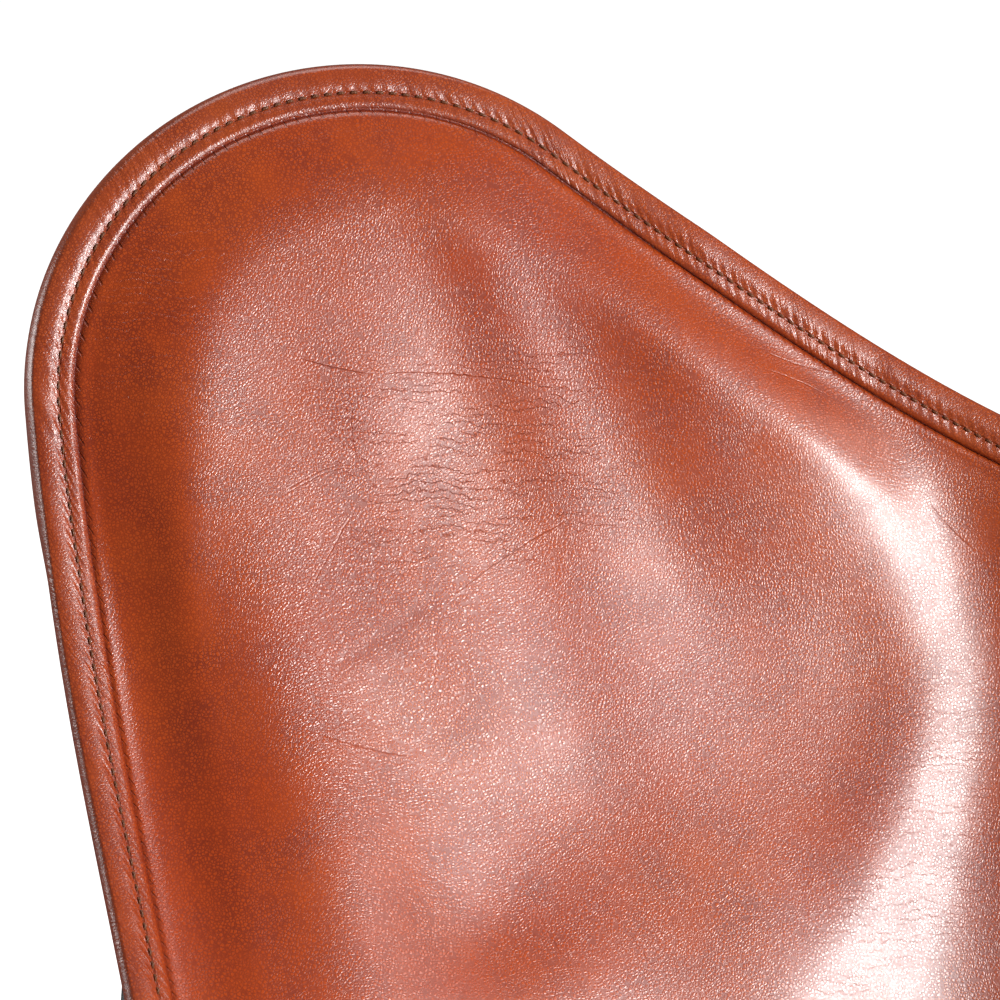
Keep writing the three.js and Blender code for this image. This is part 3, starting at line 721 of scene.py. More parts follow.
class Num:
    """A number that varies over a surface, so that shader maths reads as Python."""

    def __init__(self, finish: "Nodes", socket: bpy.types.NodeSocket) -> None:
        """Wraps a socket of a finish's node tree."""
        self.finish = finish
        self.socket = socket

    def fraction(self) -> "Num":
        """The part after the point."""
        return self._math("FRACT", self)

    def wave(self) -> "Num":
        """A wave from 0 to 1 that repeats at every whole number."""
        return self._math("SINE", self * (2 * math.pi)) * 0.5 + 0.5

    def _math(self, operation: str, *values: "Num | float") -> "Num":
        """Adds a Math node over some values."""
        return self.finish.math(operation, *values)

    def __add__(self, other: "Num | float") -> "Num":
        """The sum."""
        return self._math("ADD", self, other)

    __radd__ = __add__

    def __sub__(self, other: "Num | float") -> "Num":
        """The difference."""
        return self._math("SUBTRACT", self, other)

    def __rsub__(self, other: "Num | float") -> "Num":
        """The difference, the other way round."""
        return self._math("SUBTRACT", other, self)

    def __mul__(self, other: "Num | float") -> "Num":
        """The product."""
        return self._math("MULTIPLY", self, other)

    __rmul__ = __mul__

    def __truediv__(self, other: "Num | float") -> "Num":
        """The quotient."""
        return self._math("DIVIDE", self, other)

    def __abs__(self) -> "Num":
        """The size without its sign."""
        return self._math("ABSOLUTE", self)

    def within(self, low: float, high: float) -> "Num":
        """A smooth step.

        Args:
            low: the value up to which it is 0.
            high: the value from which it is 1.

        Returns:
            The step.
        """
        node = self.finish.node("ShaderNodeMapRange", {"interpolation_type": "SMOOTHSTEP"},
                                {"Value": self, "From Min": low, "From Max": high})
        return Num(self.finish, node.outputs["Result"])


class Nodes:
    """The node tree of one finish or of the room, with short ways to add its nodes."""

    def __init__(self, block: bpy.types.Material | bpy.types.World) -> None:
        """Empties the node tree of a new material or world.

        Args:
            block: the material or world.
        """
        self.block = block
        self.block.use_nodes = True
        self.tree = self.block.node_tree
        self.tree.nodes.clear()

    @classmethod
    def finish(cls, name: str) -> "Nodes":
        """Starts a new material."""
        return cls(bpy.data.materials.new(name))

    def node(self, kind: str, settings: dict | None = None,
             inputs: dict | None = None) -> bpy.types.Node:
        """Adds a node.

        Args:
            kind: the node's type.
            settings: its properties, which are set first.
            inputs: the values or links of its sockets.

        Returns:
            The node.
        """
        made = self.tree.nodes.new(kind)
        for key, value in (settings or {}).items():
            setattr(made, key, value)
        for key, value in (inputs or {}).items():
            self.feed(made.inputs[key], value)
        return made

    def feed(self, socket: bpy.types.NodeSocket, value: object) -> None:
        """Sets a socket to a value, or links it.

        Args:
            socket: the socket.
            value: a plain value, a varying number or another node's socket.
        """
        if isinstance(value, Num):
            self.tree.links.new(value.socket, socket)
        elif isinstance(value, bpy.types.NodeSocket):
            self.tree.links.new(value, socket)
        else:
            socket.default_value = value

    def math(self, operation: str, *values: Num | float) -> Num:
        """Adds a Math node.

        Args:
            operation: the node's operation.
            values: its inputs in order.

        Returns:
            The result.
        """
        made = self.node("ShaderNodeMath", {"operation": operation})
        for socket, value in zip(made.inputs, values):
            self.feed(socket, value)
        return Num(self, made.outputs[0])

    def places(self) -> bpy.types.NodeSocket:
        """Each point's place on the chair, in metres."""
        return self.node("ShaderNodeTexCoord").outputs["Object"]

    def flat_places(self, name: str = "UVMap") -> tuple[Num, Num]:
        """The two lengths of one of the piece's own UV maps.

        Args:
            name: the map.

        Returns:
            Its two lengths.
        """
        uv = self.node("ShaderNodeUVMap", {"uv_map": name}).outputs["UV"]
        parts = self.node("ShaderNodeSeparateXYZ", None, {"Vector": uv})
        return Num(self, parts.outputs["X"]), Num(self, parts.outputs["Y"])

    def noise(self, places: object, size: float, detail: float = 3.0, rough: float = 0.55,
              warp: float = 0.0) -> Num:
        """Cloudy noise.

        Args:
            places: where to read it.
            size: the width of its patches in metres.
            detail: how many finer layers it has.
            rough: how strong they are.
            warp: how much it is warped.

        Returns:
            A number about 0.5.
        """
        made = self.node("ShaderNodeTexNoise", None, {
            "Vector": places, "Scale": 1 / size, "Detail": detail, "Roughness": rough,
            "Distortion": warp,
        })
        return Num(self, made.outputs["Fac"])

    def cells(self, places: object, size: float, feature: str = "F1") -> Num:
        """The distance from the middles, or the edges, of pebbly cells.

        Args:
            places: where to read them.
            size: the cells' width in metres.
            feature: which distance.

        Returns:
            The distance, in cell widths.
        """
        made = self.node("ShaderNodeTexVoronoi", {"feature": feature},
                         {"Vector": places, "Scale": 1 / size})
        return Num(self, made.outputs["Distance"])

    def stretched(self, places: object, turn: tuple[float, float, float],
                  scale: tuple[float, float, float]) -> bpy.types.NodeSocket:
        """Places turned and then stretched along their axes.

        Args:
            places: the places.
            turn: the turn about each axis.
            scale: how many times longer each axis gets.

        Returns:
            The new places.
        """
        made = self.node("ShaderNodeMapping", {"vector_type": "TEXTURE"}, {
            "Vector": places, "Rotation": turn, "Scale": scale,
        })
        return made.outputs["Vector"]

    def mix(self, share: Num | float, first: object, second: object) -> bpy.types.NodeSocket:
        """A mix of two colours.

        Args:
            share: how much of the second.
            first: the first colour.
            second: the second colour.

        Returns:
            The mixed colour.
        """
        made = self.node("ShaderNodeMix", {"data_type": "RGBA"})
        colours = [s for s in made.inputs if s.type == "RGBA"]
        factor = next(s for s in made.inputs if s.type == "VALUE")
        self.feed(factor, share)
        self.feed(colours[0], first)
        self.feed(colours[1], second)
        return next(s for s in made.outputs if s.type == "RGBA")

    def bump(self, height: Num, depth: float,
             under: object | None = None) -> bpy.types.NodeSocket:
        """A normal from a height.

        Args:
            height: the height, 0 to 1.
            depth: what a height of 1 stands for, in metres.
            under: a normal that it is laid on.

        Returns:
            The normal.
        """
        inputs = {"Height": height, "Distance": depth, "Strength": 1.0}
        if under is not None:
            inputs["Normal"] = under
        return self.node("ShaderNodeBump", None, inputs).outputs["Normal"]

    def surface(self, **inputs: object) -> bpy.types.Material:
        """Ends the tree in a Principled shader.

        Args:
            inputs: what its sockets get, by their names with underscores for spaces.

        Returns:
            The material.
        """
        named = {key.replace("_", " "): value for key, value in inputs.items()}
        shader = self.node("ShaderNodeBsdfPrincipled", None, named)
        self.node("ShaderNodeOutputMaterial", None, {"Surface": shader.outputs["BSDF"]})
        return self.block


Colour = tuple[float, float, float, float]


def tone(red: int, green: int, blue: int) -> Colour:
    """A colour from a screen's values.

    Args:
        red: its red, 0 to 255.
        green: its green.
        blue: its blue.

    Returns:
        The colour as light.
    """
    def linear(value: int) -> float:
        """One channel as light."""
        share = value / 255
        return share / 12.92 if share <= 0.04045 else ((share + 0.055) / 1.055) ** 2.4

    return linear(red), linear(green), linear(blue), 1.0


@dataclass(frozen=True)
class Crease:
    """A crease worn into the leather, between two places of an ear's plane: a dent with painted
    shade along it.

    Places are (outward, across) from the middle of the peak's bend, in metres. The depth is a
    share of the deepest crease's. The bow is how far it bends aside, and a twin crease is a pair
    that far from its middle.
    """

    start: tuple[float, float]
    end: tuple[float, float]
    width: float
    depth: float
    bow: float = 0.0
    twin: float = 0.0

    def mark(self, n: Nodes, out: Num, across: Num) -> Num:
        """Draws the crease.

        Args:
            n: not used.
            out: the length outward.
            across: the length across.

        Returns:
            1 along the crease, fading to 0.
        """
        dx, dy = self.end[0] - self.start[0], self.end[1] - self.start[1]
        length = math.hypot(dx, dy)
        dx, dy = dx / length, dy / length
        along = ((out - self.start[0]) * dx + (across - self.start[1]) * dy) / length
        aside = (out - self.start[0]) * dy - (across - self.start[1]) * dx
        aside = aside - along * (1 - along) * (4 * self.bow)
        if self.twin:
            aside = abs(aside) - self.twin
        ends = along.within(0.0, 0.25) * (1 - along.within(0.75, 1.0))
        return (1 - abs(aside).within(0.0, self.width)) * ends


CREASES = (
    Crease((0.0052, 0.0251), (-0.0060, -0.0010), 0.00030, 0.9, 0.0006),
    Crease((-0.0050, 0.0010), (-0.0215, -0.0600), 0.00028, 0.5, -0.0022),
    Crease((-0.0100, 0.0066), (-0.0352, 0.0110), 0.00030, 0.35, 0.0022),
    Crease((-0.0345, 0.0110), (-0.0384, 0.0398), 0.00035, 0.35, 0.0022, 0.0006),
    Crease((-0.0480, 0.0150), (-0.0740, 0.0385), 0.00045, 0.25, 0.0010),
    Crease((-0.1000, 0.0390), (-0.0800, -0.0100), 0.00420, 0.35, 0.0010),
    Crease((-0.0850, -0.0080), (-0.0660, -0.0620), 0.00045, 0.5, -0.0012),
    Crease((-0.1150, 0.0520), (-0.1341, 0.0123), 0.00060, 0.5, 0.0016),
    Crease((-0.1700, -0.0120), (-0.2350, -0.0280), 0.00070, 0.22, 0.0030),
    Crease((-0.0237, -0.1396), (-0.0370, -0.1660), 0.00040, 0.45, 0.0012),
    Crease((-0.0300, -0.1370), (-0.0440, -0.1600), 0.00040, 0.30, -0.0010),
    Crease((-0.0843, -0.1871), (-0.1076, -0.2017), 0.00080, 0.35, 0.0010),
    Crease((-0.1760, -0.0260), (-0.2300, -0.0520), 0.00060, 0.18, -0.0030),
)


@dataclass(frozen=True)
class GrainLeather:
    """The glossy grain side: aniline tan hide, finely pebbled, creased where it bends, with
    painted shade in its creases and wrinkles.

    The coat is a smooth gloss with no bump under it, so the leather shines as a sheet, and the
    shader's own gloss sparkles on the pebbles.
    """

    name: str
    base: Colour = tone(182, 66, 8)
    light: Colour = tone(200, 88, 20)
    dark: Colour = tone(140, 38, 4)
    # colour of the pores, which is also the painted shade of creases, wrinkles and stitch marks
    pore_and_shade: Colour = tone(112, 26, 2)
    pebble: float = 0.00110
    pebble_depth: float = 0.000045
    roughness: float = 0.25
    sheen: float = 0.42
    creased: bool = False
    coat_low: float = 0.2
    form_depth: float = 0.001
    crease_depth: float = 0.28
    crease_shade: float = 0.32
    wrinkle_pitch: float = 0.0030
    wrinkle_slant: float = 0.24
    wrinkle_middle: tuple[float, float] = (-0.040, -0.030)
    wrinkle_depth: float = 0.15
    wrinkle_shade: float = 0.30
    open_middle: tuple[float, float] = (-0.105, 0.012)
    open_rise: float = 0.9
    pull_row: float = HEM_WIDTH + 0.0006

    def make(self) -> bpy.types.Material:
        """Mixes the colour, the grain and the wear.

        Returns:
            The material.
        """
        n = Nodes.finish(self.name)
        places = n.places()
        cloud = n.noise(places, 0.09, 3)
        patch = n.noise(places, 0.024, 4, 0.6)
        colour = n.mix(cloud.within(0.3, 0.75) * 0.6, self.base, self.light)
        colour = n.mix(patch.within(0.45, 0.85) * 0.22, colour, self.dark)
        tips = n.cells(places, self.pebble, "DISTANCE_TO_EDGE").within(0.02, 0.30)
        fine = n.noise(places, 0.0006, 2, 0.6)
        even = n.noise(places, 0.018, 2).within(0.25, 0.75)
        valley = (1 - tips) * (0.55 + 0.45 * even)
        colour = n.mix(valley * 0.75, colour, self.pore_and_shade)
        open_grain = self._open_grain(n) if self.creased else 0.0
        grain = tips * (0.7 + 0.3 * even + open_grain) + 0.25 * fine
        normal = n.bump(grain, self.pebble_depth)
        form, shade = self._wear(n, places) if self.creased else self._hem_marks(n)
        normal = n.bump(form, self.form_depth, normal)
        # painted shade: darker in the wrinkles, the creases, the stitch marks and along the
        # binding's cut edge
        colour = n.mix(shade, colour, self.pore_and_shade)
        rough = self.roughness + 0.10 * (patch - 0.5) + 0.10 * valley + 0.12 * shade
        coat = self.sheen * (self.coat_low + (1 - self.coat_low) * tips) * (1 - shade)
        return n.surface(
            Base_Color=colour, Roughness=rough, Normal=normal, Specular_IOR_Level=0.75,
            Coat_Weight=coat, Coat_Roughness=0.20, Coat_IOR=1.6,
        )

    def _open_grain(self, n: Nodes) -> Num:
        """Where an ear's leather is pulled and its grain stands open.

        Args:
            n: the node tree.

        Returns:
            How much more the grain stands up.
        """
        across, out = n.flat_places()
        below = 1 - abs(out - self.open_middle[0]).within(0.015, 0.070)
        beside = 1 - abs(across - self.open_middle[1]).within(0.015, 0.060)
        return self.open_rise * below * beside

    def _wear(self, n: Nodes, places: object) -> tuple[Num, Num]:
        """Fine broken wrinkles inside the ears, longer creases, and the press of the hem.

        Args:
            n: the node tree.
            places: the places on the chair.

        Returns:
            The height, and the painted shade: darker in the wrinkles, the creases, along the
                binding's cut edge and where the stitches pull.
        """
        across, out = n.flat_places()
        drift = n.noise(places, 0.03, 3, 0.55) - 0.5
        jag = n.noise(places, 0.0028, 3, 0.6) - 0.5
        level = (out - self.wrinkle_slant * across) / self.wrinkle_pitch
        level = level + 5.0 * drift + 1.5 * jag
        line = 1 - abs(level.fraction() - 0.5).within(0.0, 0.085)
        broken = n.noise(n.stretched(places, (0.0, 0.0, 0.35), (0.020, 0.020, 0.0034)), 1.0, 2)
        zone = 1 - abs(out - self.wrinkle_middle[0]).within(0.022, 0.050)
        zone = zone * (1 - abs(across - self.wrinkle_middle[1]).within(0.028, 0.064))
        far = n.noise(places, 0.16, 2).within(0.52, 0.7) * 0.4
        fine = line * broken.within(0.42, 0.56) * (zone + far)
        form = 0.6 - self.wrinkle_depth * fine
        shade = self.wrinkle_shade * fine
        bend_out, bend_across = out + 0.003 * drift + 0.0009 * jag, across + 0.003 * drift
        for crease in CREASES:
            mark = crease.mark(n, bend_out, bend_across)
            form = form - self.crease_depth * crease.depth * mark
            shade = shade + self.crease_shade * crease.depth * mark
        run, distance = n.flat_places("Rim")
        # painted shade: a thin dark line on the hide along the binding's cut edge
        groove_shade = 1 - abs(distance - HEM_WIDTH).within(0.0002, 0.0006)
        # where the stitches pull: small dents, also darkened as painted shade
        pull_dents_and_shade = (run / STITCH_PITCH).wave().within(0.86, 1.0)
        pull_dents_and_shade = pull_dents_and_shade * (1 - abs(distance - self.pull_row).within(0.0003, 0.0016))
        shade = shade + 0.85 * groove_shade + 0.22 * pull_dents_and_shade
        return form - 0.25 * pull_dents_and_shade, shade

    def _hem_marks(self, n: Nodes) -> tuple[Num, Num]:
        """The gathers between the stitches, their holes, and ridges across the turned edge.

        Args:
            n: the node tree.

        Returns:
            The height, and the painted shade in the stitch holes, along the cut edge and down the
            stitch row.
        """
        run, section = n.flat_places()
        spread = n.node("ShaderNodeCombineXYZ", None, {"X": run, "Y": section * 0.16}).outputs[0]
        ridge = n.noise(spread, 0.0030, 3, 0.6) - 0.5
        tight = n.noise(spread, 0.055, 1).within(0.48, 0.62)
        row = abs(section - (HEM_WIDTH - STITCH_ROW))
        beside = (1 - row.within(0.0004, 0.0050)) * row.within(0.0002, 0.0008)
        stitch = run / STITCH_PITCH
        gather = stitch.wave() * beside
        # the stitch holes: small dents, also darkened as painted shade
        hole_dent_and_shade = (1 - row.within(0.0002, 0.0007)) * (stitch + 0.12).wave().within(0.30, 0.75)
        # painted shade along the binding's cut edge, where it meets the hide
        cut_line_shade = 1 - section.within(0.0, 0.0009)
        form = 0.5 + ridge * (0.16 + 0.55 * tight) + 0.16 * gather - 0.30 * hole_dent_and_shade
        # painted shade: darker in the stitch holes, along the cut edge and down the stitch channel
        return form, 0.25 * hole_dent_and_shade + 0.6 * cut_line_shade + 0.12 * (1 - row.within(0.0, 0.0011))


@dataclass(frozen=True)
class FleshLeather:
    """The back of the leather: matt, soft and fibrous, a shade paler."""

    name: str
    base: Colour = tone(150, 88, 52)
    light: Colour = tone(178, 116, 76)
    shade: Colour = tone(122, 68, 38)
    nap_depth: float = 0.0004

    def make(self) -> bpy.types.Material:
        """Mixes the colour and the nap.

        Returns:
            The material.
        """
        n = Nodes.finish(self.name)
        places = n.places()
        nap = n.noise(places, 0.0014, 5, 0.7)
        cloud = n.noise(places, 0.05, 3)
        colour = n.mix(cloud.within(0.3, 0.7), self.base, self.light)
        colour = n.mix(nap.within(0.3, 0.5) * 0.4, colour, self.shade)
        normal = n.bump(nap * 0.7 + 0.3 * cloud, self.nap_depth)
        return n.surface(Base_Color=colour, Roughness=0.82 + 0.1 * (nap - 0.5), Normal=normal,
                         Sheen_Weight=0.15, Sheen_Roughness=0.5)


@dataclass(frozen=True)
class Thread:
    """Waxed brown sewing thread with a twist."""

    name: str = "waxed_thread"
    colour: Colour = tone(124, 72, 42)
    shade: Colour = tone(84, 44, 24)
    strand_turn: float = 5200.0
    strand_depth: float = 0.0001

    def make(self) -> bpy.types.Material:
        """Mixes the colour and the twist of the strands.

        Returns:
            The material.
        """
        n = Nodes.finish(self.name)
        along, round_it = n.flat_places()
        twist = n.math("SINE", along * self.strand_turn + round_it * math.tau)
        colour = n.mix((twist * 0.5 + 0.5) * 0.5, self.colour, self.shade)
        return n.surface(Base_Color=colour, Roughness=0.5 + 0.1 * twist,
                         Normal=n.bump(twist * 0.5 + 0.5, self.strand_depth))


@dataclass(frozen=True)
class PowderCoat:
    """Black powder-coated steel with a faint orange peel and a little dust."""

    name: str = "black_powder_coat"
    black: Colour = tone(20, 20, 22)
    dusty: Colour = tone(40, 40, 42)
    peel_depth: float = 0.00012

    def make(self) -> bpy.types.Material:
        """Mixes the black, the dust and the orange peel.

        Returns:
            The material.
        """
        n = Nodes.finish(self.name)
        places = n.places()
        peel = n.noise(places, 0.0022, 2)
        speck = n.noise(places, 0.0006, 1)
        wear = n.noise(places, 0.03, 5, 0.7)
        colour = n.mix(wear.within(0.5, 0.8) * 0.5, self.black, self.dusty)
        rough = 0.38 + 0.16 * (wear - 0.5) + 0.08 * (speck - 0.5)
        return n.surface(Base_Color=colour, Roughness=rough, Specular_IOR_Level=0.5,
                         Normal=n.bump(peel * 0.8 + speck * 0.2, self.peel_depth))


@dataclass(frozen=True)
class ZincPlate:
    """Bright zinc plate, faintly blue and clouded, with fine handling scratches."""

    name: str = "zinc_plate"
    blue: Colour = tone(176, 182, 190)
    white: Colour = tone(206, 208, 206)
    scratch_depth: float = 0.00003

    def make(self) -> bpy.types.Material:
        """Mixes the clouded metal and its scratches.

        Returns:
            The material.
        """
        n = Nodes.finish(self.name)
        places = n.places()
        cloud = n.noise(places, 0.004, 4, 0.65)
        scratch = n.noise(n.stretched(places, (0.4, 0.2, 0.9), (1.0, 0.04, 1.0)), 0.002, 3)
        colour = n.mix(cloud.within(0.3, 0.7), self.blue, self.white)
        rough = 0.26 + 0.18 * (cloud - 0.5) + 0.10 * scratch
        return n.surface(Base_Color=colour, Metallic=1.0, Roughness=rough,
                         Normal=n.bump(scratch, self.scratch_depth))


@dataclass(frozen=True)
class Nylon:
    """Black moulded nylon, matt with a fine spark texture, scuffed under the floor edge."""

    name: str = "moulded_nylon"
    black: Colour = tone(28, 28, 30)
    scuffed: Colour = tone(92, 90, 88)
    spark_depth: float = 0.00006
    scuff_height: float = 0.003

    def make(self) -> bpy.types.Material:
        """Mixes the black, the spark texture and the scuffed foot.

        Returns:
            The material.
        """
        n = Nodes.finish(self.name)
        places = n.places()
        spark = n.noise(places, 0.0005, 2)
        height = n.node("ShaderNodeSeparateXYZ", None, {"Vector": places}).outputs["Z"]
        patches = n.noise(places, 0.003, 4).within(0.4, 0.6)
        scuff = (1 - Num(n, height).within(0.0005, self.scuff_height)) * patches
        colour = n.mix(scuff * 0.6, self.black, self.scuffed)
        return n.surface(Base_Color=colour, Roughness=0.55 + 0.25 * scuff,
                         Normal=n.bump(spark, self.spark_depth))


@dataclass(frozen=True)
class Swell:
    """A soft swell or hollow in the leather of an ear, an oval in the ear's plane.

    Its middle is (out, across) from the middle of the peak's bend. It is long along one axis and
    wide along the other, turned from the outward direction. Lengths are in metres.
    """

    out: float
    across: float
    long: float
    wide: float
    turn: float
    rise: float

    def lift(self, out: Array, across: Array) -> Array:
        """The swell's height over places.

        Args:
            out: lengths outward.
            across: lengths across.

        Returns:
            The heights.
        """
        cos, sin = math.cos(math.radians(self.turn)), math.sin(math.radians(self.turn))
        x, y = out - self.out, across - self.across
        first, second = (x * cos + y * sin) / self.long, (y * cos - x * sin) / self.wide
        return self.rise * np.exp(-first**2 - second**2)


@dataclass
class SlingForm:
    """How the leather departs from the plain surface: rolled edges, dished ears and swells."""

    dish: float = 0.0058
    dish_run: float = 0.057
    ridge: float = 0.0015
    middle_ridge: float = 0.018
    ear_range: float = 0.17
    hem_ease: float = 0.03
    seam_sink: float = 0.0012
    swells: tuple[Swell, ...] = (
        Swell(-0.081, -0.154, 0.087, 0.031, -1, 0.0084),
        Swell(-0.124, -0.175, 0.043, 0.022, 0, 0.0040),
        Swell(-0.183, -0.158, 0.064, 0.021, -35, 0.0025),
        Swell(-0.118, -0.149, 0.090, 0.050, 49, -0.0094),
        Swell(-0.184, -0.146, 0.024, 0.069, -27, -0.0008),
        Swell(-0.004, -0.107, 0.069, 0.018, 50, 0.0036),
        Swell(-0.136, 0.059, 0.090, 0.034, 0, 0.0095),
        Swell(-0.199, 0.031, 0.089, 0.070, 5, 0.0092),
        Swell(-0.197, 0.006, 0.022, 0.035, -7, -0.0027),
        Swell(-0.075, 0.017, 0.076, 0.069, -11, 0.0082),
        Swell(-0.170, -0.035, 0.084, 0.069, -14, 0.0060),
        Swell(-0.172, -0.020, 0.036, 0.052, 1, -0.0035),
        Swell(0.010, 0.026, 0.047, 0.069, 26, 0.0092),
        Swell(-0.260, -0.091, 0.080, 0.046, -26, 0.0074),
        Swell(-0.001, 0.034, 0.041, 0.031, -57, -0.0033),
        Swell(-0.063, -0.117, 0.086, 0.030, 7, 0.0059),
    )

    def rod_gap(self, ear: Ear, points: Array) -> Array:
        """How far points are outside the rod's line, seen square to the ear's plane.

        Args:
            ear: the ear.
            points: the points.

        Returns:
            The distances, negative inside the peak.
        """
        u, v = ear.plane(points)
        sweep = math.pi / 2 - ear.bend.half
        straight = u * math.cos(sweep) + np.abs(v) * math.sin(sweep)
        round_it = np.abs(np.arctan2(v, u)) <= sweep
        return np.where(round_it, np.hypot(u, v), straight) - ear.bend.radius

    def lift(self, panel: Panel, points: Array, distance: Array) -> Array:
        """How far the hide's middle stands off the plain surface.

        Args:
            panel: the hide's panel.
            points: points of the plain surface.
            distance: how far they are from the edge.

        Returns:
            The heights along the normal.
        """
        ear = panel.ear
        u, v = ear.plane(points)
        lift = panel.roll(points, distance)
        inside = np.maximum(-self.rod_gap(ear, points), 0.0)
        ridge = self.ridge + self.middle_ridge * smooth((-v - 0.02) / 0.06)
        eased = inside - ridge * (1 - np.exp(-inside / ridge))
        sunk = 1 - (1 - np.clip(eased / self.dish_run, 0, 1)) ** 2
        near = 1 - smooth((np.hypot(u + 0.02, v) - 0.06) / self.ear_range)
        lift -= self.dish * sunk * near
        hem_free = smooth((distance - HEM_WIDTH) / self.hem_ease)
        for swell in self.swells:
            lift += swell.lift(u, v) * hem_free
        return lift


@dataclass
class Hem:
    """The folded leather binding round one panel's edge, and its two rows of stitches.

    Its section is a ring: the face from its cut edge out to the hide's edge, the rolled nose, the
    back, and inside it the faces that lie on the pocket and the hide. The channel of the stitches
    is a depth and a width, the thinning towards the cut edge a start and a length, and the nose's
    angles are the first, the limit and the step. The runs are where the later parts of the section
    start in the UV map.
    """

    panel: Panel
    form: SlingForm
    skin: float = 0.0012
    step: float = 0.002
    strip_width: float = 0.036
    depths: tuple[float, ...] = (0.0, 0.002, 0.0045, 0.007, STITCH_ROW, 0.0100, 0.0120, HEM_WIDTH)
    pocket_ease: float = 0.012
    channel: tuple[float, float] = (0.0005, 0.0011)
    crown: float = 0.0009
    cut_sink: float = 0.0006
    nose_proud: float = 1.6
    pucker_outside: float = 0.00028
    pucker_inside: float = 0.00012
    thread_sink: float = 0.0005
    thinned: tuple[float, float] = (0.0095, 0.004)
    cut_edge_share: float = 0.3
    crown_fullness: float = 0.8
    nose_angles: tuple[float, float, float] = (84.0, -90.0, -12.0)
    nose_run: float = 0.004
    back_run: float = 0.027
    lining_run: float = 0.059
    face_run: float = 0.062

    def rows(self, places: Array, distances: Sequence[float]) -> tuple[Array, Array]:
        """The hide's middle at distances in from the edge.

        Args:
            places: places of the outline.
            distances: how far in.

        Returns:
            The points and normals, by place and distance.
        """
        points = []
        for d in distances:
            p = places if d == 0 else self.panel.place_in(places, d)
            surface = self.panel.point(p[:, 0], p[:, 1])
            lift = self.form.lift(self.panel, surface, np.full(len(p), d))
            points.append(surface + self.panel.normal(p[:, 0], p[:, 1]) * lift[:, None])
        grid = np.stack(points, 1)
        along = np.gradient(grid, axis=0)
        inward = np.gradient(grid, np.array(distances), axis=1)
        square = unit(np.cross(along, inward))
        facing = self.panel.normal(places[:, 0], places[:, 1])
        square *= np.sign(dot(square, facing[:, None]))[..., None]
        return grid, square

    def places(self) -> Array:
        return self.panel.walk(self.step * (1))

    def thickness(self, places: Array) -> tuple[float, Array]:
        """How far what the binding folds round reaches from the hide's middle.

        Args:
            places: places of the outline.

        Returns:
            How far in front, and how far behind at each place, where the pocket adds to it.
        """
        sling = self.panel.sling
        gap = sling.loops.gap
        mouth = self.panel.mouth_depth(self.panel.point(*places.T))
        front = sling.hide / 2 + gap
        return front, front + smooth(mouth / self.pocket_ease) * (sling.pocket + gap)

    def build(self, finish: bpy.types.Material) -> tuple[bpy.types.Object, float]:
        """Makes the binding.

        Args:
            finish: its leather.

        Returns:
            The binding and its length.
        """
        places = self.places()
        depths = np.array(self.depths)
        grid, square = self.rows(places, depths)
        edge, out = grid[:, 0], square[:, 0]
        run = run_along(edge)
        front, back = self.thickness(places)
        proud = self._proud(depths)
        pucker = self._puckers(run)
        sections, lengths = [], []

        def add(k: int, level: Array | float, length: float) -> None:
            """Adds a line to the ring.

            Args:
                k: the number of its depth.
                level: how far it stands off the hide's middle.
                length: its length round the section, for the UV map.
            """
            level = np.broadcast_to(level, run.shape)
            sections.append(grid[:, k] + square[:, k] * level[:, None])
            lengths.append(length)

        last = len(depths) - 1
        for k in range(last, 0, -1):
            gathered = self.pucker_outside if depths[k] < STITCH_ROW else self.pucker_inside
            add(k, front + proud[k] + pucker * gathered, HEM_WIDTH - depths[k])
        inward = unit(grid[:, 1] - edge)
        radius = (front + back) / 2 + self.skin
        for angle in np.radians(np.arange(*self.nose_angles)):
            reach = -(self.panel.sling.loops.gap + self.skin) * self.nose_proud * math.cos(angle)
            level = (front - back) / 2 + radius * math.sin(angle)
            sections.append(edge + inward * reach + out * level[:, None])
            lengths.append(HEM_WIDTH + self.nose_run * (math.pi / 2 - angle))
        for k in range(1, last + 1):
            add(k, -(back + proud[k]), self.back_run + depths[k])
        for k in range(last, -1, -2):
            add(k, -back, self.lining_run - depths[k])
        for k in range(1, last + 1, 2):
            add(k, front, self.face_run + depths[k])
        maker = MeshMaker("edge_binding_" + self.panel.corner.value)
        maker.add_grid(np.stack(sections, 1) + MIDDLE, pair(run[:, None], np.array(lengths)), 0,
                       closed=True, flip=self.panel.corner.side > 0)
        return maker.build([finish]), float(run[-1])

    def _proud(self, depths: Array) -> Array:
        """How far the binding's face stands off what it covers.

        Args:
            depths: depths in from the edge.

        Returns:
            The heights: crowned, pressed in along the stitches, and thin at the cut edge.
        """
        sink, half = self.channel
        start, length = self.thinned
        arch = np.sin(np.clip(depths / STITCH_ROW, 0, 1) * math.pi) ** self.crown_fullness
        proud = self.skin + self.crown * arch - sink * hump(depths - STITCH_ROW, half)
        proud = proud - self.cut_sink * smooth((depths - start) / length)
        proud[-1] = self.skin * self.cut_edge_share
        return proud

    @staticmethod
    def _puckers(run: Array) -> Array:
        """Small uneven rises along the edge where the turned leather is gathered.

        Args:
            run: lengths along the edge.

        Returns:
            The rises, about -1 to 1.
        """
        rises = np.zeros_like(run)
        rng = np.random.default_rng(41)
        for size, share in ((0.0042, 0.5), (0.0075, 0.6), (0.019, 0.5)):
            knots = np.arange(0, run[-1] + 2 * size, size)
            rises += share * np.interp(run, knots, rng.uniform(-1, 1, len(knots)))
        return rises

